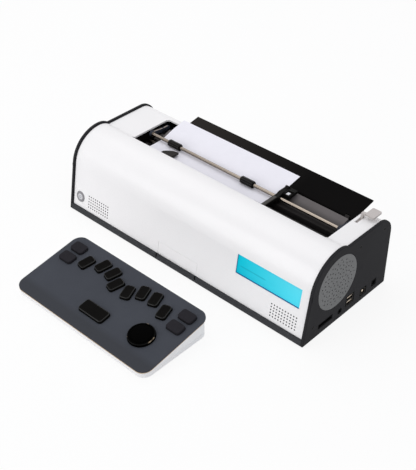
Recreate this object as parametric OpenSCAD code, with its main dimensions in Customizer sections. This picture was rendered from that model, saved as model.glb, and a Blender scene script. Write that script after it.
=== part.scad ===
/* [Machine body] */
// Length of the machine over its two end panels
machine_l = 426; // [400:1:440]
// Depth of the machine at its base
machine_d = 170; // [168:0.5:176]
// Height of an end panel at the flat paper deck
deck_h = 108; // [107:0.25:109]
// Front to back place of the bulge's centre
bulge_y = 62; // [61:0.25:63]
// Height of the bulge's centre
bulge_z = 63.5; // [62:0.25:64]
// Radius of the front bulge
bulge_r = 50.5; // [50:0.25:52]
// Radius of the shoulder between the bulge and the deck
shoulder_r = 30; // [29:0.25:32]
// Radius of the rear top corner
rear_r = 25; // [18:0.5:28]
// Thickness of an end panel
panel_t = 4; // [2.5:0.1:5]
// Step from a panel's rim down to the white cover
cover_step = 2.2; // [1.8:0.1:2.6]
// Wall of the white cover
cover_t = 2.5; // [2:0.1:2.8]
// Height of the black base strip
strip_h = 8; // [7:0.25:10]
// Wall of the base tray's upstands
tray_wall = 3; // [2:0.25:4]
// Floor of the base tray
tray_floor = 3; // [2:0.25:4]
// Height of a rubber foot under the machine
foot_h = 2; // [1:0.25:4]
// Radius of a rubber foot under the machine
foot_r = 8; // [5:0.5:12]
// Distance of a foot's centre from the machine's edges
foot_in = 22; // [14:1:40]

/* [Deck opening] */
// Width of the white strip left of the opening
strip_left = 53.5; // [50:0.5:58]
// Width of the white strip right of the opening
strip_right = 28; // [27:0.5:33]
// Front edge of the opening
open_front = 73.5; // [73:0.25:80.5]
// Height at which the opening ends in the rear wall
open_rear_z = 96; // [92:0.5:96.5]
// Radius of the opening's left rear corner
open_corner = 6; // [4:0.25:8]
// Thickness of a chassis plate
chassis_t = 2.5; // [2:0.1:3]

/* [Paper path] */
// Depth of the loaded sheet below the white deck
nip_drop = 9; // [8.8:0.05:9.4]
// Front to back place of the pinch rod and the feed shaft
nip_y = 107; // [106:0.25:108]
// Width of the loaded sheet
sheet_w = 210; // [180:1:216]
// Length of the loaded sheet
sheet_len = 148; // [130:1:160]
// Thickness of the loaded sheet
sheet_t = 0.3; // [0.2:0.05:0.4]
// Distance of the sheet's left edge from the opening's left edge
sheet_in = 22; // [20.5:0.5:25.5]
// Radius of the sheet's curl inside the machine
curl_r = 40; // [38:0.5:41]
// Front to back place where the curl starts
curl_y = 90; // [89:0.5:94]
// Radius of the pinch rod
rod_r = 2.4; // [2:0.1:2.8]
// Radius of a pinch roller
roller_r = 5; // [4.6:0.1:5.4]
// Length of a pinch roller
roller_len = 22; // [16:0.5:26]
// Distance of the left pinch roller's middle from the opening's left edge
roller_left_in = 51.8; // [46:0.2:60]
// Distance of the right pinch roller's middle from the opening's left edge
roller_right_in = 184.5; // [166:0.5:200]
// Radius of a feed tyre
tyre_r = 8; // [7.5:0.1:8.2]
// Radius of the feed shaft
feed_shaft_r = 3; // [2.5:0.1:3.5]
// Teeth of the feed gear
feed_teeth = 24; // [24:4:24]
// Teeth of the motor pinion
pinion_teeth = 12; // [12:4:12]
// Gear module
gear_module = 1; // [0.9:0.05:1.05]
// Width of the feed gear
gear_w = 4; // [3:0.25:4.5]
// Radius of the feed motor
feed_motor_r = 14; // [11:0.5:15]
// Length of the feed motor
feed_motor_len = 42; // [30:1:46]

/* [Paper bed] */
// Wall of the paper bed
bed_t = 2.5; // [2:0.1:2.6]
// Height of the trough's floor above the base
trough_z = 88; // [86:0.25:89]
// Rear end of the bed's flat part, where the ramp starts
ramp_y = 113; // [112.5:0.25:114]
// Distance of the bed's front lip before the feed shaft
bed_lip = 5.5; // [5.2:0.1:7]
// Gap between the sheet and the bed under it
sheet_gap = 0.3; // [0.2:0.05:0.4]
// Depth of the anvil bar, front to back
anvil_w = 8; // [5:0.5:8]
// Front face of the anvil bar
anvil_y = 85; // [84:0.25:88]

/* [Paper rest flap] */
// Distance of the flap's left end from the opening's left edge
flap_left_in = 32.5; // [28:0.5:39]
// Gap between the flap's right end and the opening
flap_side_gap = 1; // [0.5:0.1:2]
// Front to back place of the flap's hinge
flap_y = 134.5; // [134.25:0.25:135.5]
// Reach of the flap behind the machine's rear
flap_over = 4; // [1:0.2:8]
// Thickness of the flap
flap_t = 2; // [1.6:0.1:2.4]
// Slope of the flap at rest
flap_rise = 11; // [9:0.25:13]
// Drop of the flap's front edge below the deck
flap_drop = 2.2; // [1.8:0.1:2.4]
// Radius of the flap's hinge pins
flap_pin_r = 1; // [0.8:0.05:1.2]
// Width of a hinge lug
lug_w = 6; // [4:0.25:9]
// Distance of the left hinge lug from the opening's left edge
lug_left_in = 50.5; // [46:0.5:60]
// Distance of the right hinge lug from the opening's right edge
lug_right_in = 11.5; // [11:0.5:28]

/* [Paper bail and lever] */
// Thickness of a bail arm
arm_t = 3.5; // [3:0.1:4]
// Gap from the opening's left edge to the left arm
arm_left_in = 5; // [4:0.25:7]
// Gap from the opening's right edge to the right arm
arm_right_in = 1; // [0.8:0.1:1.5]
// Distance from the rod back to the bail's pivot
arm_len = 21; // [20:0.25:21.25]
// Radius of the bail's pivot pins
arm_pin_r = 1.5; // [1.2:0.1:1.8]
// Wall round the arm's bores
arm_wall = 1.8; // [1.5:0.1:2]
// Width of the edge guide's bar
guide_bar_w = 6.6; // [5:0.2:8]
// Width of the edge guide with its clip block
guide_w = 17.5; // [12:0.25:18]
// Front to back place of the lever's pivot
lever_y = 137; // [136:0.25:138]
// Height of the lever's pivot above the base
lever_z = 80; // [78:0.5:82]
// Thickness of the lever's neck
lever_t = 3; // [2.5:0.1:3.4]
// Width of the lever's neck
lever_w = 4.2; // [3.8:0.1:5]
// Width of the lever's finger tab
tab_w = 13.5; // [11:0.5:15]
// Length of the lever's finger tab
tab_len = 18; // [15:0.5:20]
// Height of the finger tab's underside above the white deck
tab_rise = 4.9; // [4.5:0.1:6]
// Thickness of the finger tab
tab_t = 2.4; // [1.6:0.1:3]

/* [Carriage] */
// Distance of the carriage's middle at home from the opening's left edge
home_in = 60; // [52:0.5:70]
// Length of the carriage block
carriage_l = 30; // [24:1:36]
// Front face of the carriage block
carriage_y = 30; // [29:0.25:31]
// Depth of the carriage block
carriage_d = 18; // [17:0.25:18.5]
// Radius of a carriage rail
rail_r = 3; // [2.5:0.1:3.5]
// Height of the lower rail above the base
rail_low_z = 56; // [54:0.5:58]
// Height of the upper rail above the base
rail_high_z = 87; // [85:0.5:88]
// Radius of the lead screw
screw_r = 4; // [3:0.25:4.5]
// Length of the carriage's nose, left to right
nose_w = 19; // [16:0.5:22]
// Rear tip of the nose
nose_tip_y = 96; // [94:0.25:97]
// Thickness of the nose
nose_t = 3.2; // [2.8:0.1:3.4]
// Gap between the nose and the sheet
nose_gap = 2.7; // [2.4:0.05:2.8]
// Radius of an embossing pin
pin_r = 0.6; // [0.5:0.05:0.7]
// Spacing of the embossing pins, as in a braille cell
pin_pitch = 2.5; // [2.3:0.05:2.6]
// Radius of the carriage motor
motor_r = 15; // [12:0.5:16]
// Length of the carriage motor
motor_len = 40; // [30:1:46]

/* [Front face] */
// Width of the display window
lcd_w = 101; // [90:1:104]
// Height of the display window
lcd_h = 27.6; // [24:0.2:28]
// Distance of the display window's middle from the right end panel
lcd_in = 63.3; // [62:0.5:65]
// Height of the window's middle up the face
lcd_s = 59.8; // [56:0.2:60]
// Depth of the window's recess
lcd_recess = 1; // [0.6:0.1:1.2]
// Depth of the display module behind the cover
lcd_depth = 6; // [4:0.25:6.5]
// Border of the display module round its window
lcd_border = 4; // [2:0.25:5]
// Columns of a dotted grille
grille_cols = 10; // [6:1:10]
// Rows of a dotted grille
grille_rows = 5; // [3:1:6]
// Spacing of the grille's holes
grille_pitch = 4.3; // [3.8:0.1:4.4]
// Radius of a grille hole
grille_hole_r = 0.85; // [0.6:0.05:1.1]
// Distance of the right grille's middle from the right end panel
grille_right_in = 32.8; // [31:0.5:35]
// Distance of the left grille's middle from the left end panel
grille_left_in = 51.4; // [50:0.5:54]
// Height of the grilles' middle up the face
grille_s = 24.2; // [23:0.2:26]
// Distance of the power button from the left end panel
button_in = 14.4; // [13:0.2:17]
// Radius of the power button
button_r = 7.9; // [7:0.1:8.2]
// Width of the front hatch
hatch_w = 71; // [60:1:80]
// Middle of the front hatch
hatch_x = -2.5; // [-6:0.5:4]
// Top of the front hatch up the face
hatch_top = 27; // [24:0.5:32]

/* [Right panel] */
// Radius of the speaker grille
speaker_r = 37.5; // [36:0.1:39]
// Front to back place of the speaker
speaker_y = 62; // [60:0.5:64]
// Height of the speaker above the base
speaker_z = 64.5; // [63:0.5:66]
// Radius of a speaker grille hole
speaker_hole_r = 1.1; // [0.8:0.05:1.2]
// Number of speaker grille holes
speaker_holes = 90; // [60:1:110]
// Height of the circuit board above the base
board_z = 5.6; // [5:0.1:6]
// Thickness of the circuit boards
board_t = 1.6; // [1.2:0.1:2]
// Radius of the headphone socket's bore
jack_r = 1.8; // [1.7:0.05:1.9]
// Depth of the headphone socket's bore
jack_len = 14; // [12:0.5:15]

/* [Keyboard] */
// Width of the keyboard
kb_w = 238; // [232:1:250]
// Depth of the keyboard's top plate along its slope
kb_d = 114.3; // [110:0.1:120]
// Gap between the keyboard and the machine
kb_gap = 56; // [52:1:120]
// Sideways place of the keyboard's middle
kb_x = -4.7; // [-60:1:60]
// Slope of the keyboard's top plate
kb_tilt = 9.25; // [9:0.1:11]
// Height of the plate's front edge above the keyboard's underside
kb_front_h = 10.65; // [10:0.05:14]
// Height of a rubber foot under the keyboard
kb_foot_h = 1; // [1:0.1:2]
// Corner radius of the keyboard
kb_corner = 14; // [8:0.5:18]
// Thickness of the top plate
plate_t = 2; // [1.6:0.1:2.4]
// Wall and floor of the keyboard's base
kb_wall = 2.5; // [2:0.1:3]
// Height of the keys above the plate
key_h = 3.7; // [2.2:0.1:4]
// Gap round a key
key_gap = 0.35; // [0.3:0.05:0.5]
// Travel of a key
key_travel = 1.8; // [1.4:0.1:2]
// Width of a braille key
dot_w = 14.2; // [11:0.1:14.6]
// Length of a braille key
dot_len = 22; // [18:0.1:22.4]
// Width of a function key
fn_w = 22; // [18:0.1:23]
// Length of a function key
fn_len = 15.2; // [12:0.1:16]
// Width of the space bar
space_w = 41.5; // [32:0.5:60]
// Length of the space bar
space_len = 19; // [15:0.1:20]
// Radius of the round pad
pad_r = 17.5; // [15:0.1:19]

/* [Hidden] */
$fn = 64;
fine = 128;
clear = 0.3;
run = 0.05;
seat = 0.02;
over = 1;
far = 400;

// Machine profile, seen from the right: first value rearwards, second upwards
reach = norm([bulge_y, bulge_z]);
lean = atan2(bulge_y, bulge_z) - asin(bulge_r / reach);
shoulder_z = bulge_z + bulge_r - shoulder_r;
cover_l = machine_l - 2 * panel_t;
cover_end = cover_l / 2;
cover_deck = deck_h - cover_step;
cover_in = cover_step + cover_t;
open_l = strip_left - cover_end;
open_r = cover_end - strip_right;
chassis_in = cover_in + clear;
open_left_rear = machine_d - rear_r + over;

// Paper path heights
nip_z = cover_deck - nip_drop;
nip_gap = 0.15;
rod_z = nip_z + nip_gap + roller_r;
feed_z = nip_z - sheet_t - nip_gap - tyre_r;
bed_z = nip_z - sheet_t - sheet_gap;
anvil_top = bed_z - clear;
roller_xs = [open_l + roller_left_in, open_l + roller_right_in];
sheet_left = open_l + sheet_in;
sheet_right = sheet_left + sheet_w;
curl_z = nip_z - sheet_t / 2 - curl_r;

// Flap hinge: the barrel hangs under the flap's front edge, flush with its top
barrel_r = flap_t;
flap_z = cover_deck - flap_drop - barrel_r;
flap_left = open_l + flap_left_in;
flap_right = open_r - flap_side_gap;
flap_d = (machine_d + flap_over - flap_y) / cos(flap_rise);
lug_xs = [open_l + lug_left_in, open_r - lug_right_in];
pin_stick = 9;
shelf_drop = 2.6;
shelf_z = flap_z - shelf_drop;
shelf_left = flap_left + over;
rib_y = machine_d - cover_in - clear - bed_t / 2;
rib_z = flap_z + (rib_y - flap_y) * tan(flap_rise) - clear - bed_t / 2;
ramp_end_y = flap_y - barrel_r - 2 * clear - bed_t / 2;
ramp_end_z = flap_z - barrel_r / 2;
tyre_slot = roller_len + 2 * over;
tyre_cut = tyre_r + over;
trough_front = open_front + over;
flat_front = nip_y - bed_lip;
channel_rear = nip_y + tyre_cut;

// Sheet: where it leaves the flap and how much is left for the curl
sheet_hinge_z = flap_z + barrel_r + clear + sheet_t / 2;
sheet_mid_z = nip_z - sheet_t / 2;
sheet_rest_len = 22;
sheet_ramp_y = ramp_y - over;
sheet_rise_len = norm([flap_y - sheet_ramp_y, sheet_hinge_z - sheet_mid_z]);
sheet_flat_len = sheet_ramp_y - curl_y;
curl_angle = (sheet_len - sheet_rest_len - sheet_rise_len - sheet_flat_len) / curl_r * 180 / PI;

// Bail: pivot just in front of the flap's barrel
arm_y = nip_y + arm_len;
arm_drop = 3;
arm_z = rod_z - arm_drop;
arm_tail = 10;
rod_boss_r = rod_r + arm_wall;
arm_boss_r = arm_pin_r + arm_wall;
arm_left_x = open_l + arm_left_in;
arm_right_x = open_r - arm_right_in - arm_t;
bed_gap_left = 9;
bed_gap_right = 3;
bed_left = arm_left_x + arm_t + bed_gap_left;
bed_right = arm_right_x - bed_gap_right;

// Edge guide on the rod: its front bar passes over the carriage's nose
guide_sheet_gap = 0.7;
guide_nose_gap = 0.6;
guide_wall = 2.6;
guide_block_rise = 2;
guide_block_step = 1;
guide_x = sheet_right + guide_sheet_gap;
guide_front = trough_front + over / 2;
guide_rear = arm_y + over;
guide_boss_r = rod_r + guide_wall;
guide_top_front = rod_z + guide_boss_r - clear;
guide_top_rear = guide_top_front + guide_block_rise;
guide_step_y = nose_tip_y + 2 * over;
guide_under = nip_z + nose_gap + nose_t + guide_nose_gap;
guide_block_y = nip_y + guide_boss_r;
guide_foot = bed_z + 2 * clear + sheet_t;
guide_bend_y = ramp_y - 2 * bed_t;
ramp_rise = (ramp_end_z + bed_t / 2 - bed_z) / (ramp_end_y - ramp_y);
guide_rear_foot = guide_foot + (guide_rear - guide_bend_y) * ramp_rise;

// Lever on the outer face of the right chassis plate
lever_pin_r = 2;
lever_boss_r = 5;
lever_off = 2;
lever_x = open_r + chassis_t + lever_off;
lever_lean = 8;
lever_swing = 24;
neck_top = cover_deck + tab_rise + tab_t;
slot_gap = 0.6;
neck_half = lever_w / 2 / cos(max(lever_lean, lever_swing - lever_lean));
slot_rear = lever_y + (cover_deck - lever_z) * tan(lever_lean) + neck_half + slot_gap;
slot_front = lever_y - (cover_deck - lever_z) * tan(lever_swing - lever_lean) - neck_half - slot_gap;
tab_ahead = 3;
tab_neck = 2;
tab_corner = 2;
tab_y = lever_y + tab_ahead;
tab_x = lever_x + lever_t + tab_neck;
neck_y = lever_y + (neck_top - lever_z) * tan(lever_lean);
neck_end = [neck_y, neck_top] + lever_w * [sin(lever_lean), cos(lever_lean)];

// Gears: pitch radii, with low teeth and a wide backlash
feed_pitch_r = gear_module * feed_teeth / 2;
pinion_pitch_r = gear_module * pinion_teeth / 2;
pinion_z = feed_z - feed_pitch_r - pinion_pitch_r;
tooth_up = 0.75 * gear_module;
tooth_down = 1.05 * gear_module;
tooth_tip_half = 0.28 * gear_module;
tooth_root_half = 0.8 * gear_module;
gear_x = open_r + chassis_t + over / 2;
shaft_end_l = open_l - chassis_t;
shaft_end_r = gear_x + gear_w + over / 2;

// Carriage
home_x = open_l + home_in;
carriage_wall = 4;
rail_y = carriage_y + carriage_wall + rail_r + over;
screw_y = carriage_y + carriage_d / 2;
screw_z = (rail_low_z + rail_high_z) / 2;
carriage_low = rail_low_z - rail_r - carriage_wall - over;
carriage_top = rail_high_z + rail_r + carriage_wall;
nose_z = nip_z + nose_gap;
nose_top = nose_z + nose_t;
nose_arm_t = 5;
nose_arm_w = 14;
nose_arm_y = carriage_y + carriage_d - nose_arm_t;
nose_len = 18;
nose_y = nose_tip_y - nose_len;
nose_curve_r = 26;
nose_hook = 2.5;
pin_gap = 1.1;
pin_tip = nip_z + pin_gap;
pin_len = 3.2;
pin_roof = 0.8;
pin_back = 12;
pin_first_y = nose_tip_y - pin_back;
pin_first_x = 3;

// Front face
lcd_x = cover_end - lcd_in;
grille_right_x = cover_end - grille_right_in;
grille_left_x = grille_left_in - cover_end;
button_x = button_in - cover_end;
button_s = 24.8;
button_proud = 0.8;
button_flange = 1.4;
button_depth = cover_t + clear + button_flange;
button_lip = 1.5;
hatch_gap = 1.5;
hatch_low = strip_h + hatch_gap;
hatch_s = (hatch_low + hatch_top) / 2;
nick_w = 2.2;
nick_h = 5;
nick_deep = strip_h * tan(lean) + tray_wall / 2;

// Right panel: places of sockets and screws in the profile, the sockets at shares of its depth
card_at = [0.253 * machine_d, 13.5];
jack_at = [0.4265 * machine_d, 11.5];
usb_a_at = [0.544 * machine_d, 18.3];
usb_b_at = [0.712 * machine_d, 14];
dc_at = [0.849 * machine_d, 14];
card_size = [28, 7];
card_mouth = [24.4, 2.4];
usb_a_size = [17, 15];
usb_a_mouth = [13.1, 5.6];
usb_a_step = 7;
usb_a_tongue = [11, 1.8];
usb_a_tongue_up = 0.7;
usb_b_size = [13, 11];
usb_b_mouth = [8.6, 7.9];
usb_b_tongue = [5.6, 3.2];
dc_size = [10, 10];
dc_r = 2.75;
dc_pin_r = 1;
dc_len = 16;
dc_deep = 10;
jack_boss_r = 4;
port_in = 0.3;
port_len = 20;
port_x = cover_end + panel_t - port_in;
card_deep = 17;
jack_body_len = 17;
tongue_deep = 12;
board_top = board_z + board_t;
board_w = 86;
board_end_gap = 2;
board_x = cover_end - board_end_gap - board_w;
board_y = 28;
board_rear_gap = 12;
board_d = machine_d - board_y - board_rear_gap;
screw_shank_r = 1.3;
screw_head_r = 2.8;
screw_head_t = 1.3;
screw_len = 11;
post_r = 4;
post_len = 12;
screw_rear = 15.8;
screw_at = [[18.3, 19.7], [104.5, 93.6], [machine_d - screw_rear, 93.4]];
post_rib = [[-11, -10.75], [0, 9], [0, 9]];
post_rib_t = 3;
speaker_lap = 2.7;
speaker_flange_r = speaker_r + speaker_lap;
basket_t = 3;
magnet_r = 22;
speaker_depth = 16;
grille_rim = 5;
golden_turn = 137.508;
battery_size = [140, 38, 24];
battery_side_gap = 5.5;
battery_rear_gap = 15.3;
battery_x = open_l + battery_side_gap;
battery_y = machine_d - cover_in - battery_rear_gap - battery_size[1];

// Keyboard: plate frame at its front top edge
kb_run = kb_d * cos(kb_tilt);
kb_front = -kb_gap - kb_run;
kb_floor = kb_foot_h - foot_h;
kb_plate_z = kb_floor + kb_front_h;
kb_inset = 1.5;
flange_out = 0.8;
flange_gap = 0.4;
flange_t = 1;
stem_r = 1.5;
switch_w = 8;
switch_room = 0.8;
switch_h = 2.8;
stem_in = 0.7;
flange_under = -plate_t - flange_gap - flange_t;
switch_top = flange_under - key_travel - switch_room;
kb_board_top = switch_top - switch_h;
stem_tip = switch_top - stem_in;
kb_board_front = 22;
kb_board_side = 6;
kb_board_rear = kb_d - kb_board_side - over;
kb_foot_r = 6;
kb_foot_in = 20;
kb_battery_size = [80, 0.3075 * kb_run, 6.5];
kb_battery_rear_gap = 10.5;
kb_battery_y = kb_run - kb_battery_rear_gap - kb_battery_size[1];
dot_r = 3.2;
fn_r = 4;
space_r = 4;
pad_crown = 1.2;
dot_x = kb_w * [0.2962, 0.2004, 0.1151, 0.0462];
dot_m = kb_d * [0.7244, 0.7988, 0.783, 0.6868];
dot_turn = [13, 16, 17.5, 17.5];
fn_x = 0.4143 * kb_w;
fn_m = kb_d * [0.6527, 0.832];
space_m = 0.2756 * kb_d;
pad_at = [0.3118 * kb_w, 0.357 * kb_d];

// The whole set is centred front to back on its own box
set_rear = machine_d + flap_over;
set_mid = (kb_front + set_rear) / 2;

white = [0.93, 0.93, 0.94];
charcoal = [0.2, 0.2, 0.21];
black = [0.08, 0.08, 0.085];
slate = [0.27, 0.28, 0.31];
steel = [0.72, 0.72, 0.74];
grey = [0.44, 0.44, 0.44];
warm_grey = [0.71, 0.69, 0.67];
rubber = [0.06, 0.06, 0.06];
cyan = [0.2, 0.85, 0.92];
green = [0.1, 0.35, 0.2];

// Shared frames

// Machine frame to set frame: the set stands on its feet, centred front to back
module in_set() { translate([0, -set_mid, foot_h]) children(); }

// A profile in the side view, stretched from one place along the machine to another
module along(x0, x1) { translate([x0, 0, 0]) rotate([90, 0, 90]) linear_extrude(x1 - x0) children(); }

// A rod along the machine at a place in the side view
module rod(x0, x1, y, z, r) { translate([x0, y, z]) rotate([0, 90, 0]) cylinder(h = x1 - x0, r = r); }

// A place on the leaning front face: along the machine, up the face, outwards
module on_front(x, s) { translate([x, 0, 0]) rotate([90 - lean, 0, 0]) translate([0, s, 0]) children(); }

// A cut straight through the white cover's front face
module through_front(x, s) {
    on_front(x, s) translate([0, 0, -cover_in - over]) linear_extrude(cover_in + 2 * over) children();
}

// A place on the keyboard's plate: sideways, up the slope, out of the plate
module on_plate(x, m, turn = 0) {
    translate([kb_x, kb_front, kb_plate_z]) rotate([kb_tilt, 0, 0]) translate([x, m, 0])
        rotate([0, 0, turn]) children();
}

// Flat rectangle with round corners, about its middle
module round_rect(w, d, r) {
    square([w - 2 * r, d], center = true);
    square([w, d - 2 * r], center = true);
    for (sx = [-1, 1], sy = [-1, 1]) translate([sx * (w / 2 - r), sy * (d / 2 - r)]) circle(r);
}

// Bar between two places in the side view, with round ends
module bar(a, b, w) {
    translate(a) rotate(atan2(b[1] - a[1], b[0] - a[0])) translate([0, -w / 2]) square([norm(b - a), w]);
    translate(a) circle(w / 2);
    translate(b) circle(w / 2);
}

// Strip of constant thickness through a list of places
module strip(places, w) { for (i = [0:len(places) - 2]) bar(places[i], places[i + 1], w); }

// The machine's side profile, drawn in by an even step
module side_outline(in) {
    deck = deck_h - in;
    corner_y = machine_d - rear_r;
    intersection() {
        translate([bulge_y, bulge_z]) circle(bulge_r - in, $fn = fine);
        translate([bulge_y - bulge_r, 0]) square([bulge_r, bulge_z + bulge_r]);
    }
    intersection() {
        translate([bulge_y, shoulder_z]) circle(shoulder_r - in, $fn = fine);
        translate([bulge_y, 0]) square([shoulder_r, shoulder_z + shoulder_r]);
    }
    polygon([[in / cos(lean), 0],
        [bulge_y - (bulge_r - in) * cos(lean), bulge_z + (bulge_r - in) * sin(lean)],
        [bulge_y, bulge_z], [bulge_y, 0]]);
    translate([bulge_y, 0]) square([corner_y - bulge_y, deck]);
    translate([corner_y, 0]) square([rear_r - in, deck_h - rear_r]);
    translate([corner_y, deck_h - rear_r]) circle(rear_r - in);
}

// The profile above a given height
module outline_above(in, z) {
    difference() {
        side_outline(in);
        translate([-far / 2, -over]) square([far, z + over]);
    }
}

// Round-ended cap on a stem, with the flange that keeps it under its plate
module key_body() {
    translate([0, 0, -plate_t - flange_gap]) linear_extrude(plate_t + flange_gap + key_h) children(0);
    translate([0, 0, flange_under]) linear_extrude(flange_t) children(1);
    translate([0, 0, stem_tip]) cylinder(h = -plate_t - flange_gap - stem_tip, r = stem_r);
}

// Straight-sided gear teeth with a wide backlash
module gear_outline(teeth, phase) {
    pitch_r = gear_module * teeth / 2;
    step = 360 / teeth;
    root_r = pitch_r - tooth_down;
    tip_r = pitch_r + tooth_up;
    circle(root_r);
    for (i = [0:teeth - 1]) rotate(phase + i * step)
        polygon([[root_r - tooth_down / 2, -tooth_root_half], [tip_r, -tooth_tip_half],
            [tip_r, tooth_tip_half], [root_r - tooth_down / 2, tooth_root_half]]);
}

// Machine

module base_tray() color(black) in_set() difference() {
    union() {
        along(-cover_end, cover_end) difference() {
            side_outline(0);
            translate([-far / 2, strip_h]) square([far, far]);
            difference() {
                side_outline(tray_wall);
                translate([-far / 2, -over]) square([far, tray_floor + over]);
            }
        }
        for (x = [board_x + post_r, board_x + board_w - post_r],
             y = [board_y + post_r, board_y + board_d - post_r])
            translate([x, y, tray_floor]) cylinder(h = board_z - tray_floor, r = post_r);
    }
    for (side = [-1, 1]) translate([hatch_x + side * hatch_w / 2 - nick_w / 2, -over, strip_h - nick_h])
        cube([nick_w, nick_deep + over, nick_h + over]);
}

module cover_posts() {
    for (side = [-1, 1], i = [0:len(screw_at) - 1]) {
        x0 = side > 0 ? cover_end - post_len : -cover_end;
        at = screw_at[i];
        intersection() {
            along(x0, x0 + post_len) union() {
                translate(at) circle(post_r);
                bar(at, at + post_rib[i], post_rib_t);
            }
            along(-cover_end, cover_end) outline_above(cover_step + cover_t / 2, strip_h);
        }
    }
}

// Plan of the opening: white left behind its round left rear corner, open at the rear behind the flap
module deck_opening() {
    left_w = flap_left - flap_side_gap - open_l;
    run_y = open_left_rear - open_front;
    translate([open_l, open_front]) square([open_r - open_l, run_y - open_corner]);
    translate([open_l + open_corner, open_front]) square([left_w, run_y]);
    translate([open_l + open_corner, open_left_rear - open_corner]) circle(open_corner);
    translate([open_l + left_w, open_front]) square([open_r - open_l - left_w, machine_d]);
}

module top_cover() color(white) in_set() difference() {
    union() {
        along(-cover_end, cover_end) difference() {
            outline_above(cover_step, strip_h);
            side_outline(cover_in);
        }
        cover_posts();
    }
    translate([0, 0, open_rear_z]) linear_extrude(deck_h) deck_opening();
    for (side = [-1, 1], at = screw_at) {
        x0 = side > 0 ? cover_end - screw_len : -cover_end - over;
        rod(x0, x0 + screw_len + over, at[0], at[1], screw_shank_r + seat);
    }
    translate([lever_x - slot_gap, slot_front, lever_z])
        cube([lever_t + 2 * slot_gap, slot_rear - slot_front, deck_h - lever_z]);
    through_front(lcd_x, lcd_s) square([lcd_w, lcd_h], center = true);
    for (x = [grille_left_x, grille_right_x], i = [0:grille_cols - 1], j = [0:grille_rows - 1])
        through_front(x + (i - (grille_cols - 1) / 2) * grille_pitch,
            grille_s + (j - (grille_rows - 1) / 2) * grille_pitch) circle(grille_hole_r, $fn = 16);
    through_front(button_x, button_s) circle(button_r + clear);
    through_front(hatch_x, hatch_s) square([hatch_w, hatch_top - hatch_low], center = true);
}

module front_hatch() color(white) in_set() on_front(hatch_x, hatch_s)
    translate([0, 0, -cover_in]) linear_extrude(cover_t)
        square([hatch_w - 2 * clear, hatch_top - hatch_low - 2 * clear], center = true);

module end_panel(side) {
    x0 = side > 0 ? cover_end : -cover_end - panel_t;
    head_x = side > 0 ? cover_end + panel_t - screw_head_t - seat : -cover_end - panel_t - over;
    difference() {
        along(x0, x0 + panel_t) side_outline(0);
        for (at = screw_at) {
            rod(x0 - over, x0 + panel_t + over, at[0], at[1], screw_shank_r + seat);
            rod(head_x, head_x + screw_head_t + seat + over, at[0], at[1], screw_head_r + seat);
        }
    }
}

// Rectangular hole through the right panel for a socket
module socket_hole(at, size) {
    translate([cover_end - over, at[0] - size[0] / 2 - clear, at[1] - size[1] / 2 - clear])
        cube([panel_t + 2 * over, size[0] + 2 * clear, size[1] + 2 * clear]);
}

module left_panel() color(charcoal) in_set() end_panel(-1);

module right_panel() color(charcoal) in_set() difference() {
    end_panel(1);
    rod(cover_end - over, cover_end + panel_t + over, speaker_y, speaker_z, speaker_r + clear);
    rod(cover_end - over, cover_end + panel_t + over, jack_at[0], jack_at[1], jack_boss_r + clear);
    socket_hole(card_at, card_size);
    socket_hole(usb_a_at, usb_a_size);
    socket_hole(usb_b_at, usb_b_size);
    socket_hole(dc_at, dc_size);
}

module chassis_plates() color(black) in_set() for (x0 = [open_l - chassis_t, open_r]) difference() {
    along(x0, x0 + chassis_t) outline_above(chassis_in, tray_floor);
    on_front(lcd_x, lcd_s) translate([0, 0, -cover_in - lcd_depth - 3 * clear])
        linear_extrude(lcd_depth + cover_in)
            square([lcd_w + 2 * (lcd_border + clear), lcd_h + 2 * (lcd_border + clear)], center = true);
    translate([board_x - clear, board_y - clear, tray_floor - over])
        cube([board_w + 2 * clear, board_d + 2 * clear, board_top - tray_floor + over + clear]);
    for (z = [rail_low_z, rail_high_z]) rod(x0 - over, x0 + chassis_t + over, rail_y, z, rail_r + seat);
    rod(x0 - over, x0 + chassis_t + over, screw_y, screw_z, screw_r + run);
    rod(x0 - over, x0 + chassis_t + over, nip_y, feed_z, feed_shaft_r + run);
    rod(x0 - over, x0 + chassis_t + over, arm_y, arm_z, arm_pin_r + seat);
    if (x0 > 0) {
        rod(x0 - over, x0 + chassis_t + over, lever_y, lever_z, lever_pin_r + seat);
        rod(x0 - over, x0 + chassis_t + over, nip_y, pinion_z, feed_shaft_r + clear);
    }
}

module panel_screws() color(steel) in_set() for (side = [-1, 1], at = screw_at) {
    outer = side * (cover_end + panel_t - seat);
    head_x = side > 0 ? outer - screw_head_t : outer;
    shank_x = side > 0 ? outer - screw_head_t - screw_len : outer + screw_head_t;
    rod(head_x, head_x + screw_head_t, at[0], at[1], screw_head_r);
    rod(shank_x, shank_x + screw_len, at[0], at[1], screw_shank_r);
}

module lcd_module() color(green) in_set() on_front(lcd_x, lcd_s)
    translate([0, 0, -cover_in - clear - lcd_depth]) linear_extrude(lcd_depth)
        square([lcd_w + 2 * lcd_border, lcd_h + 2 * lcd_border], center = true);

module lcd_window() color(cyan) in_set() on_front(lcd_x, lcd_s)
    translate([0, 0, -cover_in]) linear_extrude(cover_t - lcd_recess)
        square([lcd_w - 2 * seat, lcd_h - 2 * seat], center = true);

module speaker_grille() color(grey) in_set() difference() {
    rod(cover_end, cover_end + panel_t, speaker_y, speaker_z, speaker_r);
    for (i = [1:speaker_holes]) {
        out = (speaker_r - grille_rim) * sqrt(i / speaker_holes);
        rod(cover_end - over, cover_end + panel_t + 2 * over, speaker_y + out * cos(i * golden_turn),
            speaker_z + out * sin(i * golden_turn), speaker_hole_r, $fn = 16);
    }
}

module speaker() color(black) in_set() {
    rod(cover_end - basket_t, cover_end, speaker_y, speaker_z, speaker_flange_r);
    rod(cover_end - speaker_depth, cover_end - basket_t, speaker_y, speaker_z, magnet_r);
}

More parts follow.
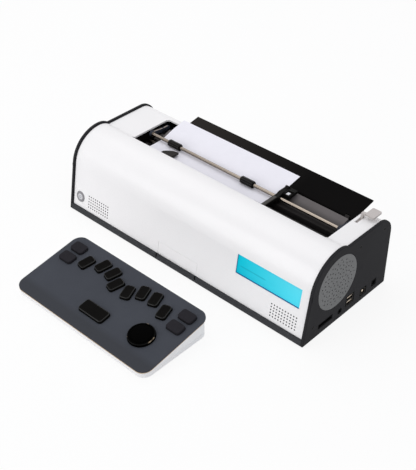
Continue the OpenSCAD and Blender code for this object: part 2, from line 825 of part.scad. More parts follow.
// Socket block: flush mouth in the panel, housing down to the board behind it
module socket_block(at, size, deep) {
    translate([port_x - deep, at[0] - size[0] / 2, at[1] - size[1] / 2]) cube([deep, size[0], size[1]]);
    translate([port_x - deep, at[0] - size[0] / 2, board_top])
        cube([deep - panel_t - over, size[0], at[1] - board_top]);
}

// Rectangular mouth cut into a socket block
module socket_mouth(at, size, deep) {
    translate([port_x - deep, at[0] - size[0] / 2, at[1] - size[1] / 2])
        cube([deep + over, size[0], size[1]]);
}

module card_slot() color(black) in_set() difference() {
    socket_block(card_at, card_size, port_len);
    socket_mouth(card_at, card_mouth, card_deep);
}

module audio_jack() color(black) in_set() difference() {
    union() {
        rod(port_x - jack_body_len, port_x, jack_at[0], jack_at[1], jack_boss_r);
        translate([port_x - jack_body_len, jack_at[0] - jack_boss_r, board_top])
            cube([jack_body_len - panel_t - over, 2 * jack_boss_r, jack_at[1] - board_top]);
    }
    rod(port_x - jack_len, port_x + over, jack_at[0], jack_at[1], jack_r);
}

// Contact tongue standing in a socket's mouth
module socket_tongue(at, size) {
    translate([port_x - tongue_deep - over, at[0] - size[0] / 2, at[1] - size[1] / 2])
        cube([tongue_deep, size[0], size[1]]);
}

module usb_sockets() color(steel) in_set() {
    difference() {
        socket_block(usb_a_at, usb_a_size, port_len);
        for (up = [-usb_a_step / 2, usb_a_step / 2]) difference() {
            socket_mouth(usb_a_at + [0, up], usb_a_mouth, tongue_deep);
            socket_tongue(usb_a_at + [0, up + usb_a_tongue_up], usb_a_tongue);
        }
    }
    difference() {
        socket_block(usb_b_at, usb_b_size, port_len);
        difference() {
            socket_mouth(usb_b_at, usb_b_mouth, tongue_deep);
            socket_tongue(usb_b_at, usb_b_tongue);
        }
    }
}

module dc_inlet() color(black) in_set() {
    difference() {
        socket_block(dc_at, dc_size, dc_len);
        rod(port_x - dc_deep, port_x + over, dc_at[0], dc_at[1], dc_r);
    }
    rod(port_x - dc_deep - over, port_x - over, dc_at[0], dc_at[1], dc_pin_r);
}

module main_board() color(green) in_set()
    translate([board_x, board_y, board_z]) cube([board_w, board_d, board_t]);

module battery_pack() color(slate) in_set()
    translate([battery_x, battery_y, tray_floor]) cube(battery_size);

module feet() color(rubber) in_set()
    for (x = [-1, 1] * (machine_l / 2 - foot_in), y = [foot_in, machine_d - foot_in])
        translate([x, y, -foot_h]) cylinder(h = foot_h, r = foot_r);

// Bed: a folded plate under the sheet, on floor pans that reach the chassis plates
module paper_bed() color(black) in_set() difference() {
    union() {
        along(shelf_left, bed_right) strip([[rib_y, rib_z], [rib_y, shelf_z - bed_t / 2],
            [ramp_end_y, shelf_z - bed_t / 2]], bed_t);
        along(shelf_left, shelf_left + bed_t) intersection() {
            side_outline(chassis_in);
            translate([ramp_end_y, trough_z - bed_t]) square([rib_y - ramp_end_y, shelf_z - trough_z]);
        }
        along(bed_left, bed_right) strip([[ramp_end_y, trough_z], [ramp_end_y, ramp_end_z],
            [ramp_y, bed_z - bed_t / 2], [flat_front, bed_z - bed_t / 2], [flat_front, trough_z]], bed_t);
        translate([open_l, trough_front, trough_z - bed_t])
            cube([open_r - open_l, flat_front + bed_t / 2 - trough_front, bed_t]);
        translate([open_l, channel_rear, trough_z - bed_t])
            cube([open_r - open_l, ramp_end_y + bed_t / 2 - channel_rear, bed_t]);
        translate([open_l, ramp_end_y, trough_z - bed_t])
            cube([shelf_left + bed_t - open_l, rib_y - ramp_end_y - bed_t / 2, bed_t]);
        for (x = lug_xs) along(x - lug_w / 2, x + lug_w / 2) {
            translate([flap_y, flap_z]) circle(barrel_r);
            bar([flap_y, flap_z], [flap_y, shelf_z - bed_t / 2], 2 * barrel_r);
        }
    }
    for (x = roller_xs) translate([x - tyre_slot / 2, nip_y - tyre_cut, trough_z - bed_t - over])
        cube([tyre_slot, 2 * tyre_cut, bed_z + bed_t - trough_z + 2 * over]);
    for (x = lug_xs) rod(x - lug_w, x + lug_w, flap_y, flap_z, flap_pin_r + seat);
}

module anvil_bar() color(charcoal) in_set() translate([bed_left, anvil_y, trough_z])
    cube([bed_right - bed_left, anvil_w, anvil_top - trough_z]);

module pivot_pins() color(steel) in_set() {
    for (x = lug_xs) rod(x - pin_stick, x + pin_stick, flap_y, flap_z, flap_pin_r);
    rod(open_l - chassis_t, arm_left_x + arm_t + over / 2, arm_y, arm_z, arm_pin_r);
    rod(arm_right_x - over / 2, open_r + chassis_t, arm_y, arm_z, arm_pin_r);
    rod(open_r, lever_x + lever_t + over / 2, lever_y, lever_z, lever_pin_r);
}

module carriage_rails() color(steel) in_set() for (z = [rail_low_z, rail_high_z])
    rod(open_l - chassis_t, open_r + chassis_t, rail_y, z, rail_r);

module carriage_motor() color(grey) in_set()
    rod(open_l - chassis_t - motor_len, open_l - chassis_t, screw_y, screw_z, motor_r);

module feed_motor() color(grey) in_set() rod(open_r - feed_motor_len, open_r, nip_y, pinion_z, feed_motor_r);

module paper_sheet() color("white") in_set() along(sheet_left, sheet_right) {
    rest_end = [flap_y + sheet_rest_len * cos(flap_rise), sheet_hinge_z + sheet_rest_len * sin(flap_rise)];
    strip([rest_end, [flap_y, sheet_hinge_z], [sheet_ramp_y, sheet_mid_z], [curl_y, sheet_mid_z]], sheet_t);
    translate([curl_y, curl_z]) intersection() {
        difference() {
            circle(curl_r + sheet_t / 2, $fn = fine);
            circle(curl_r - sheet_t / 2, $fn = fine);
        }
        polygon([[0, 0], [0, 2 * curl_r], [-2 * curl_r, 2 * curl_r], [-2 * curl_r, 0],
            [-2 * curl_r * sin(curl_angle), 2 * curl_r * cos(curl_angle)]]);
    }
}

// Moving paper parts

module rest_flap() color(black) in_set() translate([0, flap_y, flap_z]) rotate([flap_rise, 0, 0])
difference() {
    union() {
        rod(flap_left, flap_right, 0, 0, barrel_r);
        translate([flap_left, 0, barrel_r - flap_t]) cube([flap_right - flap_left, flap_d, flap_t]);
    }
    rod(flap_left - over, flap_right + over, 0, 0, flap_pin_r + run);
    for (x = lug_xs) translate([x - lug_w / 2 - clear, -2 * barrel_r, -2 * barrel_r])
        cube([lug_w + 2 * clear, 3 * barrel_r + clear, 4 * barrel_r]);
}

module release_lever() color(warm_grey) in_set() {
    difference() {
        along(lever_x, lever_x + lever_t) {
            translate([lever_y, lever_z]) circle(lever_boss_r);
            intersection() {
                bar([lever_y, lever_z], neck_end, lever_w);
                square([far, neck_top]);
            }
        }
        rod(lever_x - over, lever_x + lever_t + over, lever_y, lever_z, lever_pin_r + run);
    }
    translate([lever_x, neck_y - lever_w / 2, neck_top - tab_t])
        cube([tab_x - lever_x + over, lever_w, tab_t]);
    translate([tab_x, tab_y, neck_top - tab_t]) translate([tab_w / 2, tab_len / 2, 0])
        linear_extrude(tab_t) round_rect(tab_w, tab_len, tab_corner);
}

module bail_arms() color(black) in_set() {
    for (x0 = [arm_left_x, arm_right_x]) difference() {
        along(x0, x0 + arm_t) {
            translate([nip_y, rod_z]) circle(rod_boss_r);
            translate([arm_y, arm_z]) circle(arm_boss_r);
            bar([nip_y, rod_z], [arm_y, arm_z], 2 * arm_boss_r - over);
            if (x0 < 0) bar([arm_y, arm_z], [arm_y + arm_tail, arm_z], 2 * arm_boss_r - over);
        }
        rod(x0 - over, x0 + arm_t + over, nip_y, rod_z, rod_r + run);
        rod(x0 - over, x0 + arm_t + over, arm_y, arm_z, arm_pin_r + run);
    }
}

module pinch_rod() color(steel) in_set()
    rod(arm_left_x - over / 2, arm_right_x + arm_t + over / 2, nip_y, rod_z, rod_r);

module pinch_rollers() color(rubber) in_set() for (x = roller_xs) difference() {
    rod(x - roller_len / 2, x + roller_len / 2, nip_y, rod_z, roller_r);
    rod(x - roller_len, x + roller_len, nip_y, rod_z, rod_r + seat);
}

module edge_guide() color(black) in_set() difference() {
    union() {
        along(guide_x, guide_x + guide_bar_w) {
            translate([nip_y, rod_z]) circle(guide_boss_r);
            polygon([[guide_front, guide_under], [guide_step_y, guide_under], [guide_step_y, guide_foot],
                [guide_bend_y, guide_foot], [guide_rear, guide_rear_foot], [guide_rear, guide_top_rear],
                [guide_block_y, guide_top_rear], [nip_y, guide_top_front], [guide_front, guide_top_front]]);
        }
        along(guide_x + guide_bar_w - over, guide_x + guide_w)
            polygon([[guide_block_y, rod_z], [guide_rear, guide_rear_foot],
                [guide_rear, guide_top_rear - guide_block_step],
                [guide_block_y, guide_top_rear - guide_block_step]]);
    }
    rod(guide_x - over, guide_x + guide_w + over, nip_y, rod_z, rod_r + run);
}

module feed_shaft() color(steel) in_set() rod(shaft_end_l, shaft_end_r, nip_y, feed_z, feed_shaft_r);

module feed_tyres() color(rubber) in_set() for (x = roller_xs) difference() {
    rod(x - roller_len / 2, x + roller_len / 2, nip_y, feed_z, tyre_r);
    rod(x - roller_len, x + roller_len, nip_y, feed_z, feed_shaft_r + seat);
}

module feed_gear() color(white) in_set() difference() {
    along(gear_x, gear_x + gear_w) translate([nip_y, feed_z]) gear_outline(feed_teeth, -90);
    rod(gear_x - over, gear_x + gear_w + over, nip_y, feed_z, feed_shaft_r + seat);
}

module feed_pinion() color("gold") in_set() {
    along(gear_x, gear_x + gear_w) translate([nip_y, pinion_z])
        gear_outline(pinion_teeth, 90 + 180 / pinion_teeth);
    rod(open_r + clear, gear_x + over / 2, nip_y, pinion_z, feed_shaft_r);
}

// Embossing carriage

// Where the embossing pins stand: a braille cell of two columns and three rows
module pin_places() {
    for (i = [0, 1], j = [0:2])
        translate([home_x + pin_first_x + i * pin_pitch, pin_first_y + j * pin_pitch, 0]) children();
}

module carriage() color(black) in_set() difference() {
    union() {
        translate([home_x - carriage_l / 2, carriage_y, carriage_low])
            cube([carriage_l, carriage_d, carriage_top - carriage_low]);
        translate([home_x - nose_arm_w / 2, nose_arm_y, carriage_top - over])
            cube([nose_arm_w, carriage_y + carriage_d - nose_arm_y, nose_top - carriage_top + over]);
        translate([home_x - nose_arm_w / 2, nose_arm_y, nose_z])
            cube([nose_arm_w, nose_y + over - nose_arm_y, nose_t]);
        translate([home_x, nose_y, nose_z]) linear_extrude(nose_t) intersection() {
            translate([-nose_w / 2, 0]) square([nose_w, nose_len]);
            translate([nose_w / 2 + nose_hook, nose_len - nose_curve_r]) circle(nose_curve_r);
        }
    }
    for (z = [rail_low_z, rail_high_z])
        rod(home_x - carriage_l, home_x + carriage_l, rail_y, z, rail_r + run);
    rod(home_x - carriage_l, home_x + carriage_l, screw_y, screw_z, screw_r + run);
    pin_places() translate([0, 0, nose_z - over])
        cylinder(h = nose_t + over - pin_roof, r = pin_r + run, $fn = 24);
}

module emboss_pins() color(steel) in_set()
    pin_places() translate([0, 0, pin_tip]) cylinder(h = pin_len, r = pin_r, $fn = 24);

module lead_screw() color(steel) in_set()
    rod(open_l - chassis_t + clear, open_r + chassis_t, screw_y, screw_z, screw_r);

module power_button() color(warm_grey) in_set() on_front(button_x, button_s) {
    translate([0, 0, -cover_step - button_depth]) cylinder(h = button_depth + button_proud, r = button_r);
    translate([0, 0, -cover_in - clear - button_flange])
        cylinder(h = button_flange, r = button_r + button_lip);
}

// Keyboard

// Plan of the keyboard's base, drawn in by an even step
module kb_plan(in) {
    translate([kb_x, kb_front + kb_run / 2])
        round_rect(kb_w - 2 * in, kb_run - 2 * in, kb_corner - in);
}

// Everything above a level of the plate's frame
module above_plate(level) { on_plate(0, 0) translate([-far / 2, -far / 2, level]) cube([far, far, far]); }

module kb_base() color(white) in_set() difference() {
    tall = kb_front_h + kb_d;
    translate([0, 0, kb_floor]) linear_extrude(tall) kb_plan(kb_inset);
    above_plate(-plate_t);
    translate([0, 0, kb_floor + kb_wall]) linear_extrude(tall) kb_plan(kb_inset + kb_wall);
}

// Outline of each key in the plate's frame, widened by an even step
module dot_outline(out) { round_rect(dot_w + 2 * out, dot_len + 2 * out, dot_r + out); }
module fn_outline(out) { round_rect(fn_w + 2 * out, fn_len + 2 * out, fn_r + out); }
module space_outline(out) { round_rect(space_w + 2 * out, space_len + 2 * out, space_r + out); }

// Eight braille keys from left to right: the left four mirror the right four
module at_dot(i) {
    left = i < 4;
    k = left ? i : 7 - i;
    on_plate((left ? -1 : 1) * dot_x[k], dot_m[k], (left ? -1 : 1) * dot_turn[k]) children();
}

// Four function keys: side is -1 or 1, row is 0 for the lower one
module at_fn(side, row) { on_plate(side * fn_x, fn_m[row]) children(); }

// A cut straight through the keyboard's plate
module through_plate() { translate([0, 0, -plate_t - over]) linear_extrude(plate_t + 2 * over) children(); }

module kb_plate() color(slate) in_set() difference() {
    on_plate(0, kb_d / 2) translate([0, 0, -plate_t])
        linear_extrude(plate_t) round_rect(kb_w, kb_d, kb_corner);
    for (i = [0:7]) at_dot(i) through_plate() dot_outline(key_gap);
    for (side = [-1, 1], row = [0, 1]) at_fn(side, row) through_plate() fn_outline(key_gap);
    on_plate(0, space_m) through_plate() space_outline(key_gap);
    on_plate(pad_at[0], pad_at[1]) through_plate() circle(pad_r + key_gap);
}

module kb_board() color(green) in_set()
    on_plate(0, (kb_board_front + kb_board_rear) / 2) translate([0, 0, kb_board_top - board_t])
        linear_extrude(board_t) round_rect(kb_w - 2 * (kb_board_side + kb_inset),
            kb_board_rear - kb_board_front, kb_corner - kb_board_side);

module key_switch() difference() {
    translate([-switch_w / 2, -switch_w / 2, kb_board_top]) cube([switch_w, switch_w, switch_h]);
    translate([0, 0, kb_board_top - over]) cylinder(h = switch_h + 2 * over, r = stem_r + run);
}

module key_switches() color(black) in_set() {
    for (i = [0:7]) at_dot(i) key_switch();
    for (side = [-1, 1], row = [0, 1]) at_fn(side, row) key_switch();
    on_plate(0, space_m) key_switch();
    on_plate(pad_at[0], pad_at[1]) key_switch();
}

module kb_battery() color(slate) in_set()
    translate([kb_x - kb_battery_size[0] / 2, kb_front + kb_battery_y, kb_floor + kb_wall])
        cube(kb_battery_size);

module kb_feet() color(rubber) in_set()
    for (x = [-1, 1] * (kb_w / 2 - kb_foot_in), y = [kb_foot_in, kb_run - kb_foot_in])
        translate([kb_x + x, kb_front + y, -foot_h]) cylinder(h = kb_foot_h, r = kb_foot_r);

module dot_key(i) color(black) in_set() at_dot(i) key_body() {
    dot_outline(0);
    dot_outline(flange_out);
}

module fn_key(side, row) color(black) in_set() at_fn(side, row) key_body() {
    fn_outline(0);
    fn_outline(flange_out);
}

module key_dot7() { dot_key(0); }
module key_dot3() { dot_key(1); }
module key_dot2() { dot_key(2); }
module key_dot1() { dot_key(3); }
module key_dot4() { dot_key(4); }
module key_dot5() { dot_key(5); }
module key_dot6() { dot_key(6); }
module key_dot8() { dot_key(7); }
module key_left_lower() { fn_key(-1, 0); }
module key_left_upper() { fn_key(-1, 1); }
module key_right_lower() { fn_key(1, 0); }
module key_right_upper() { fn_key(1, 1); }
module space_bar() color(black) in_set() on_plate(0, space_m) key_body() {
    space_outline(0);
    space_outline(flange_out);
}

module round_pad() color(black) in_set() on_plate(pad_at[0], pad_at[1]) {
    dome_r = (pad_r * pad_r + pad_crown * pad_crown) / (2 * pad_crown);
    key_body() {
        circle(pad_r);
        circle(pad_r + flange_out);
    }
    translate([0, 0, key_h]) intersection() {
        translate([0, 0, pad_crown - dome_r]) sphere(dome_r, $fn = fine);
        translate([0, 0, -over / 2]) cylinder(h = pad_crown + over, r = pad_r);
    }
}

base_tray();
top_cover();
front_hatch();
left_panel();
right_panel();
chassis_plates();
panel_screws();
lcd_module();
lcd_window();
speaker_grille();
speaker();
card_slot();
audio_jack();
usb_sockets();
dc_inlet();
main_board();
battery_pack();
feet();
paper_bed();
anvil_bar();
pivot_pins();
carriage_rails();
carriage_motor();
feed_motor();
paper_sheet();
rest_flap();
release_lever();
bail_arms();
pinch_rod();
pinch_rollers();
edge_guide();
feed_shaft();
feed_tyres();
feed_gear();
feed_pinion();
carriage();
emboss_pins();
lead_screw();
power_button();
kb_base();
kb_plate();
kb_board();
key_switches();
kb_battery();
kb_feet();
key_dot7();
key_dot3();
key_dot2();
key_dot1();
key_dot4();
key_dot5();
key_dot6();
key_dot8();
key_left_lower();
key_left_upper();
key_right_lower();
key_right_upper();
space_bar();
round_pad();
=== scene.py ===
import math

import bmesh
import bpy
from mathutils import Matrix, Vector


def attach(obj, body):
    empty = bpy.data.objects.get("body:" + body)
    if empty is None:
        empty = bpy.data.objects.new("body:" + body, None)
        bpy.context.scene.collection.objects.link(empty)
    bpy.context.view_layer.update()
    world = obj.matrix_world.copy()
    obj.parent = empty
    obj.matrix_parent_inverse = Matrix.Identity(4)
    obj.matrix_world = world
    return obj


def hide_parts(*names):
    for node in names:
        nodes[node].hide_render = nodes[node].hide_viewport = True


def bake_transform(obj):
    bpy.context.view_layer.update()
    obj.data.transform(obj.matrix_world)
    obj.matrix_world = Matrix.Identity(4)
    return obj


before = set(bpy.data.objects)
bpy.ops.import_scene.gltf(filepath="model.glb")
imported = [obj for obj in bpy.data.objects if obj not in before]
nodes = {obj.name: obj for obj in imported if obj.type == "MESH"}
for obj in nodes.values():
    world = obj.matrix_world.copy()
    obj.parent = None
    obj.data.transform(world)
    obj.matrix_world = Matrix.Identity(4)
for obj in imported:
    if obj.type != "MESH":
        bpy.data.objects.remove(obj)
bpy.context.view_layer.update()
scene = bpy.context.scene
scene.view_settings.view_transform = "Standard"
print("frame loaded:", len(nodes), "nodes")

setMid, footHeight = 2.59316, 2.0        # shift from the machine's own millimetres to the shared frame


def spot(x, y, z):
    return Vector((x, y - setMid, z + footHeight)) / 1000


def tint(code):
    parts = [int(code[i:i + 2], 16) / 255 for i in (1, 3, 5)]
    return [p / 12.92 if p <= 0.04045 else ((p + 0.055) / 1.055) ** 2.4 for p in parts] + [1]


def scaled(colour, share):
    return [c * share for c in colour[:3]] + [1]


def feed(tree, node, inputs):
    # inputs take plain values or the outputs of other nodes
    for name, value in inputs.items():
        if isinstance(value, bpy.types.NodeSocket):
            tree.links.new(value, node.inputs[name])
        else:
            node.inputs[name].default_value = value


def added(tree, kind, inputs, **settings):
    node = tree.nodes.new(kind)
    for name, value in settings.items():
        setattr(node, name, value)
    feed(tree, node, inputs)
    return node


# finishes read Object coordinates, so a pattern keeps its place on the piece
def startFinish(name):
    mat = bpy.data.materials.new(name)
    mat.use_nodes = True
    tree = mat.node_tree
    tree.nodes.clear()
    shader = tree.nodes.new("ShaderNodeBsdfPrincipled")
    added(tree, "ShaderNodeOutputMaterial", {"Surface": shader.outputs["BSDF"]})
    return mat, tree, shader, tree.nodes.new("ShaderNodeTexCoord").outputs["Object"]


def stretched(tree, coord, scale):
    return added(tree, "ShaderNodeMapping", {"Vector": coord, "Scale": scale}).outputs["Vector"]


def noise(tree, coord, scale, detail, rough=0.55):
    inputs = {"Vector": coord, "Scale": scale, "Detail": detail, "Roughness": rough}
    return added(tree, "ShaderNodeTexNoise", inputs).outputs["Fac"]


def ranged(tree, value, low, high, fromLow=0.3, fromHigh=0.7):
    inputs = {"Value": value, "From Min": fromLow, "From Max": fromHigh, "To Min": low, "To Max": high}
    return added(tree, "ShaderNodeMapRange", inputs).outputs["Result"]


def mixed(tree, factor, first, second):
    inputs = {"Factor": factor, "A": first, "B": second}
    return added(tree, "ShaderNodeMix", inputs, data_type="RGBA").outputs["Result"]


def maths(tree, operation, *values):
    return added(tree, "ShaderNodeMath", dict(enumerate(values)), operation=operation).outputs[0]


def axes(tree, coord):
    return added(tree, "ShaderNodeSeparateXYZ", {"Vector": coord}).outputs


def bumped(tree, height, strength, distance):
    inputs = {"Height": height, "Strength": strength, "Distance": distance}
    return added(tree, "ShaderNodeBump", inputs).outputs["Normal"]


def moulded(name, colour, rough, grain, depth, strength, shade, coat=0.0, drift=30, gloss=0.5):
    mat, tree, shader, coord = startFinish(name)
    base = tint(colour)
    fine, slow = noise(tree, coord, grain, 4), noise(tree, coord, drift, 2)
    toned = mixed(tree, ranged(tree, slow, 0, 1), scaled(base, 1 - shade), scaled(base, 1 + shade))
    speck = mixed(tree, ranged(tree, fine, 0, 0.35), toned, scaled(base, 1 - 2 * shade))
    feed(tree, shader, {"Base Color": speck, "Roughness": ranged(tree, fine, rough - 0.05, rough + 0.07),
                        "Coat Weight": coat, "Coat Roughness": 0.12, "Specular IOR Level": gloss,
                        "Normal": bumped(tree, fine, strength, depth)})
    return mat


def bandedPlate(name, colour, bandColour, sizes):
    # a band along one side, which fades into the rest
    mat, tree, shader, coord = startFinish(name)
    place = axes(tree, coord)[sizes["along"]]
    fine, slow = noise(tree, coord, 3200, 4), noise(tree, coord, 22, 3)
    base = tint(colour)
    cloudy = mixed(tree, ranged(tree, slow, 0, 1), scaled(base, 0.94), scaled(base, 1.06))
    rise = ranged(tree, place, 0, 1, sizes["bandFrom"], sizes["bandTo"])
    if "fadeFrom" in sizes:
        rise = maths(tree, "MULTIPLY", rise, ranged(tree, place, 1, 0, sizes["fadeFrom"], sizes["fadeTo"]))
    toned = mixed(tree, rise, tint(bandColour), cloudy)
    speck = mixed(tree, ranged(tree, fine, 0, 0.3), toned, scaled(base, 0.8))
    feed(tree, shader, {"Base Color": speck, "Roughness": ranged(tree, fine, 0.5, 0.62),
                        "Specular IOR Level": sizes["gloss"], "Normal": bumped(tree, fine, 0.3, 0.00005)})
    return mat


def glintRim(name, colour, glint):
    # black gloss with a few pale spots along the edge, which are painted glints
    mat, tree, shader, coord = startFinish(name)
    spots = noise(tree, coord, 130, 2, 0.4)
    paintedGlints = mixed(tree, ranged(tree, spots, 0, 1, 0.62, 0.7), tint(colour), tint(glint))
    feed(tree, shader, {"Base Color": paintedGlints, "Roughness": ranged(tree, spots, 0.06, 0.3),
                        "Specular IOR Level": 0.06, "Normal": bumped(tree, spots, 0.05, 0.00004)})
    return mat


def drawnSteel(name, colour, rough, lines, contrast=0.9):
    mat, tree, shader, coord = startFinish(name)
    base = tint(colour)
    # streaks along one axis: drawn lines, which on the rod have strong contrast and are painted dark
    # reflections
    streakAndReflection = noise(tree, stretched(tree, coord, lines), 1.0, 4, 0.6)
    cloud = noise(tree, coord, 60, 2)
    tone = mixed(tree, ranged(tree, streakAndReflection, 0, 1), scaled(base, contrast), base)
    feed(tree, shader, {"Base Color": tone, "Roughness": ranged(tree, cloud, rough - 0.06, rough + 0.08),
                        "Metallic": 1.0, "Normal": bumped(tree, streakAndReflection, 0.05, 0.00002)})
    return mat


def softRubber(name, colour, rough, gloss):
    mat, tree, shader, coord = startFinish(name)
    base = tint(colour)
    fine = noise(tree, coord, 1800, 5, 0.65)
    tone = mixed(tree, ranged(tree, fine, 0, 1), scaled(base, 0.75), scaled(base, 1.3))
    feed(tree, shader, {"Base Color": tone, "Roughness": ranged(tree, fine, rough - 0.08, rough + 0.12),
                        "Specular IOR Level": gloss, "Normal": bumped(tree, fine, 0.3, 0.00006)})
    return mat


def paperFinish(name, colour):
    mat, tree, shader, coord = startFinish(name)
    base = tint(colour)
    fibre = noise(tree, stretched(tree, coord, (700, 1500, 1500)), 1.0, 6, 0.7)
    cloud = noise(tree, coord, 55, 3)
    pale = mixed(tree, ranged(tree, cloud, 0, 1), scaled(base, 0.97), base)
    tone = mixed(tree, ranged(tree, fibre, 0, 0.5), pale, scaled(base, 0.93))
    feed(tree, shader, {"Base Color": tone, "Roughness": 0.85, "Specular IOR Level": 0.25,
                        "Normal": bumped(tree, fibre, 0.18, 0.00003)})
    return mat


def lineMask(tree, value, middle, half, soft):
    # 1 inside a band about middle, 0 outside it
    away = maths(tree, "ABSOLUTE", maths(tree, "SUBTRACT", value, middle))
    return ranged(tree, away, 1, 0, half, half + soft)


def displayFinish(name, sizes):
    mat, tree, shader, coord = startFinish(name)
    place = axes(tree, coord)
    rise = ranged(tree, place["Z"], 0, 1, sizes["low"], sizes["high"])
    side = ranged(tree, place["X"], 0, 1, sizes["left"], sizes["right"])
    leftGlow = mixed(tree, rise, tint(sizes["leftLow"]), tint(sizes["leftHigh"]))
    rightGlow = mixed(tree, rise, tint(sizes["rightLow"]), tint(sizes["rightHigh"]))
    glow = mixed(tree, side, leftGlow, rightGlow)
    row = lineMask(tree, place["Z"], sizes["rowZ"], 0.0005, 0.0006)
    reach = lineMask(tree, place["X"], sizes["rowX"], sizes["rowHalf"], 0.004)
    both = maths(tree, "MULTIPLY", row, reach)
    tone = mixed(tree, ranged(tree, both, 0, 0.4, 0, 1), glow, tint("#0a7f98"))
    feed(tree, shader, {"Base Color": tone, "Emission Color": tone, "Emission Strength": 0.2,
                        "Roughness": 0.3, "Specular IOR Level": 0.04,
                        "Normal": bumped(tree, noise(tree, coord, 900, 2), 0.03, 0.00002)})
    return mat


finishes = {mat.name: mat for mat in (
    moulded("whiteShell", "#f2f1f1", 0.3, 1400, 0.00002, 0.08, 0.012, 0.2, 14),
    moulded("whiteBase", "#efeff0", 0.38, 1800, 0.00003, 0.12, 0.015, 0.1, 18),
    moulded("charcoalPanel", "#2c2c2e", 0.55, 2400, 0.00006, 0.35, 0.06, gloss=0.03),
    moulded("stripBlack", "#38393c", 0.5, 2400, 0.00005, 0.3, 0.06, gloss=0.12),
    moulded("deckBlack", "#0f0e0d", 0.45, 2200, 0.00005, 0.25, 0.12, gloss=0.015),
    # the black bed fades to a lighter grey on its ramp, painted light, and back to black behind it
    bandedPlate("trayBlack", "#6a6666", "#0f0e0d", {
        "along": "Y", "bandFrom": spot(0, 106, 0).y, "bandTo": spot(0, 124, 0).y,
        "fadeFrom": spot(0, 131, 0).y, "fadeTo": spot(0, 133, 0).y, "gloss": 0.03}),
    moulded("noseBlack", "#262422", 0.36, 2200, 0.00004, 0.2, 0.1, gloss=0.08),
    moulded("armSlate", "#2f333d", 0.42, 2200, 0.00004, 0.2, 0.08, gloss=0.08),
    moulded("speakerCone", "#3f3f40", 0.6, 2200, 0.00005, 0.25, 0.08, gloss=0.03),
    moulded("anvilBlack", "#141312", 0.34, 2000, 0.00004, 0.2, 0.1, gloss=0.16),
    # the flap is painted lighter towards its left end: painted light
    bandedPlate("flapBlack", "#0f0e0e", "#302d2b", {
        "along": "X", "bandFrom": -0.12, "bandTo": 0.09, "gloss": 0.01}),
    moulded("guideBlack", "#11100f", 0.36, 2600, 0.00004, 0.2, 0.1, gloss=0.06),
    moulded("guideTop", "#302d2a", 0.42, 2600, 0.00004, 0.2, 0.08, gloss=0.3),
    # pale beige of the painted highlight on the left arm's top edge
    moulded("paintedArmHighlight", "#8d8177", 0.38, 2600, 0.00004, 0.2, 0.06, gloss=0.4),
    moulded("speakerGrey", "#757676", 0.6, 2600, 0.00006, 0.4, 0.06, gloss=0.12),
    moulded("leverGrey", "#c4bebb", 0.42, 2600, 0.00004, 0.2, 0.04, gloss=0.2),
    moulded("buttonGrey", "#8a898c", 0.35, 2600, 0.00003, 0.15, 0.05, 0.2, gloss=0.3),
    moulded("buttonPale", "#d0d0d3", 0.3, 2600, 0.00003, 0.12, 0.03, 0.2),
    moulded("markBlue", "#5a6173", 0.4, 2600, 0.00003, 0.1, 0.05),
    # beige of the painted shade in the gap under the keyboard plate
    moulded("gapShadeBeige", "#cdb99f", 0.6, 2200, 0.00004, 0.2, 0.05, gloss=0.2),
    bandedPlate("slatePlate", "#43464d", "#3c3e43", {
        "along": "Y", "bandFrom": spot(0, -156, 0).y, "bandTo": spot(0, -147, 0).y, "gloss": 0.06}),
    moulded("keyBlack", "#0f0e0d", 0.45, 3200, 0.00004, 0.15, 0.12, gloss=0.015),
    moulded("keyShoulder", "#0b0a0a", 0.16, 3200, 0.00002, 0.05, 0.1, gloss=0.24),
    moulded("keyMatte", "#28272b", 0.75, 3200, 0.00005, 0.25, 0.06, gloss=0.05),
    moulded("padGloss", "#020202", 0.1, 3200, 0.00001, 0.03, 0.1, gloss=0.006),
    # the pad rim's pale spots are painted glints
    glintRim("padRim", "#040404", "#a08f78"),
    # the rod's strong dark streaks are drawn lines and painted reflections of dark surroundings
    drawnSteel("rodSteel", "#a3988d", 0.24, (1.5, 330, 330), 0.42),
    moulded("screwBlack", "#161617", 0.4, 1800, 0.00004, 0.2, 0.12, gloss=0.06),
    drawnSteel("portSteel", "#d8c8b4", 0.3, (40, 1200, 1200)),
    drawnSteel("linerSteel", "#4a4540", 0.36, (40, 1200, 1200)),
    drawnSteel("canSteel", "#9a9a9b", 0.36, (40, 900, 900)),
    drawnSteel("gearBrass", "#c8a552", 0.3, (40, 900, 900)),
    moulded("gearWhite", "#dcd9d0", 0.45, 1800, 0.00004, 0.2, 0.03),
    softRubber("rollerRubber", "#060606", 0.3, 0.05),
    # the flute ridges are the rollers' own rubber, given a lighter colour as painted highlight lines
    softRubber("rollerRidge", "#262322", 0.22, 0.2),
    softRubber("footRubber", "#1f1f1f", 0.5, 0.1),
    moulded("boardGreen", "#1e5a3a", 0.4, 900, 0.00004, 0.2, 0.12, 0.2),
    moulded("cellWrap", "#343b4c", 0.35, 500, 0.00008, 0.2, 0.08, 0.2),
    moulded("plugGrey", "#2b2b2e", 0.7, 2600, 0.00005, 0.3, 0.08, gloss=0.02),
    moulded("portBlack", "#060607", 0.5, 2600, 0.00004, 0.2, 0.1, gloss=0.008),
    paperFinish("braillePaper", "#f1f0f7"),
    paperFinish("labelWhite", "#d9d9dc"),
    moulded("displayEdge", "#0b5c94", 0.3, 2000, 0.00002, 0.1, 0.05, gloss=0.2),
    displayFinish("displayCyan", {
        "low": spot(0, 0, 47).z, "high": spot(0, 0, 71).z, "left": 0.100, "right": 0.190,
        "leftLow": "#00b4ca", "leftHigh": "#02bcd0", "rightLow": "#4cd2e6", "rightHigh": "#56d0e2",
        "rowZ": spot(0, 0, 57).z, "rowX": 0.121, "rowHalf": 0.018}),
)}
print("finishes made:", len(finishes))


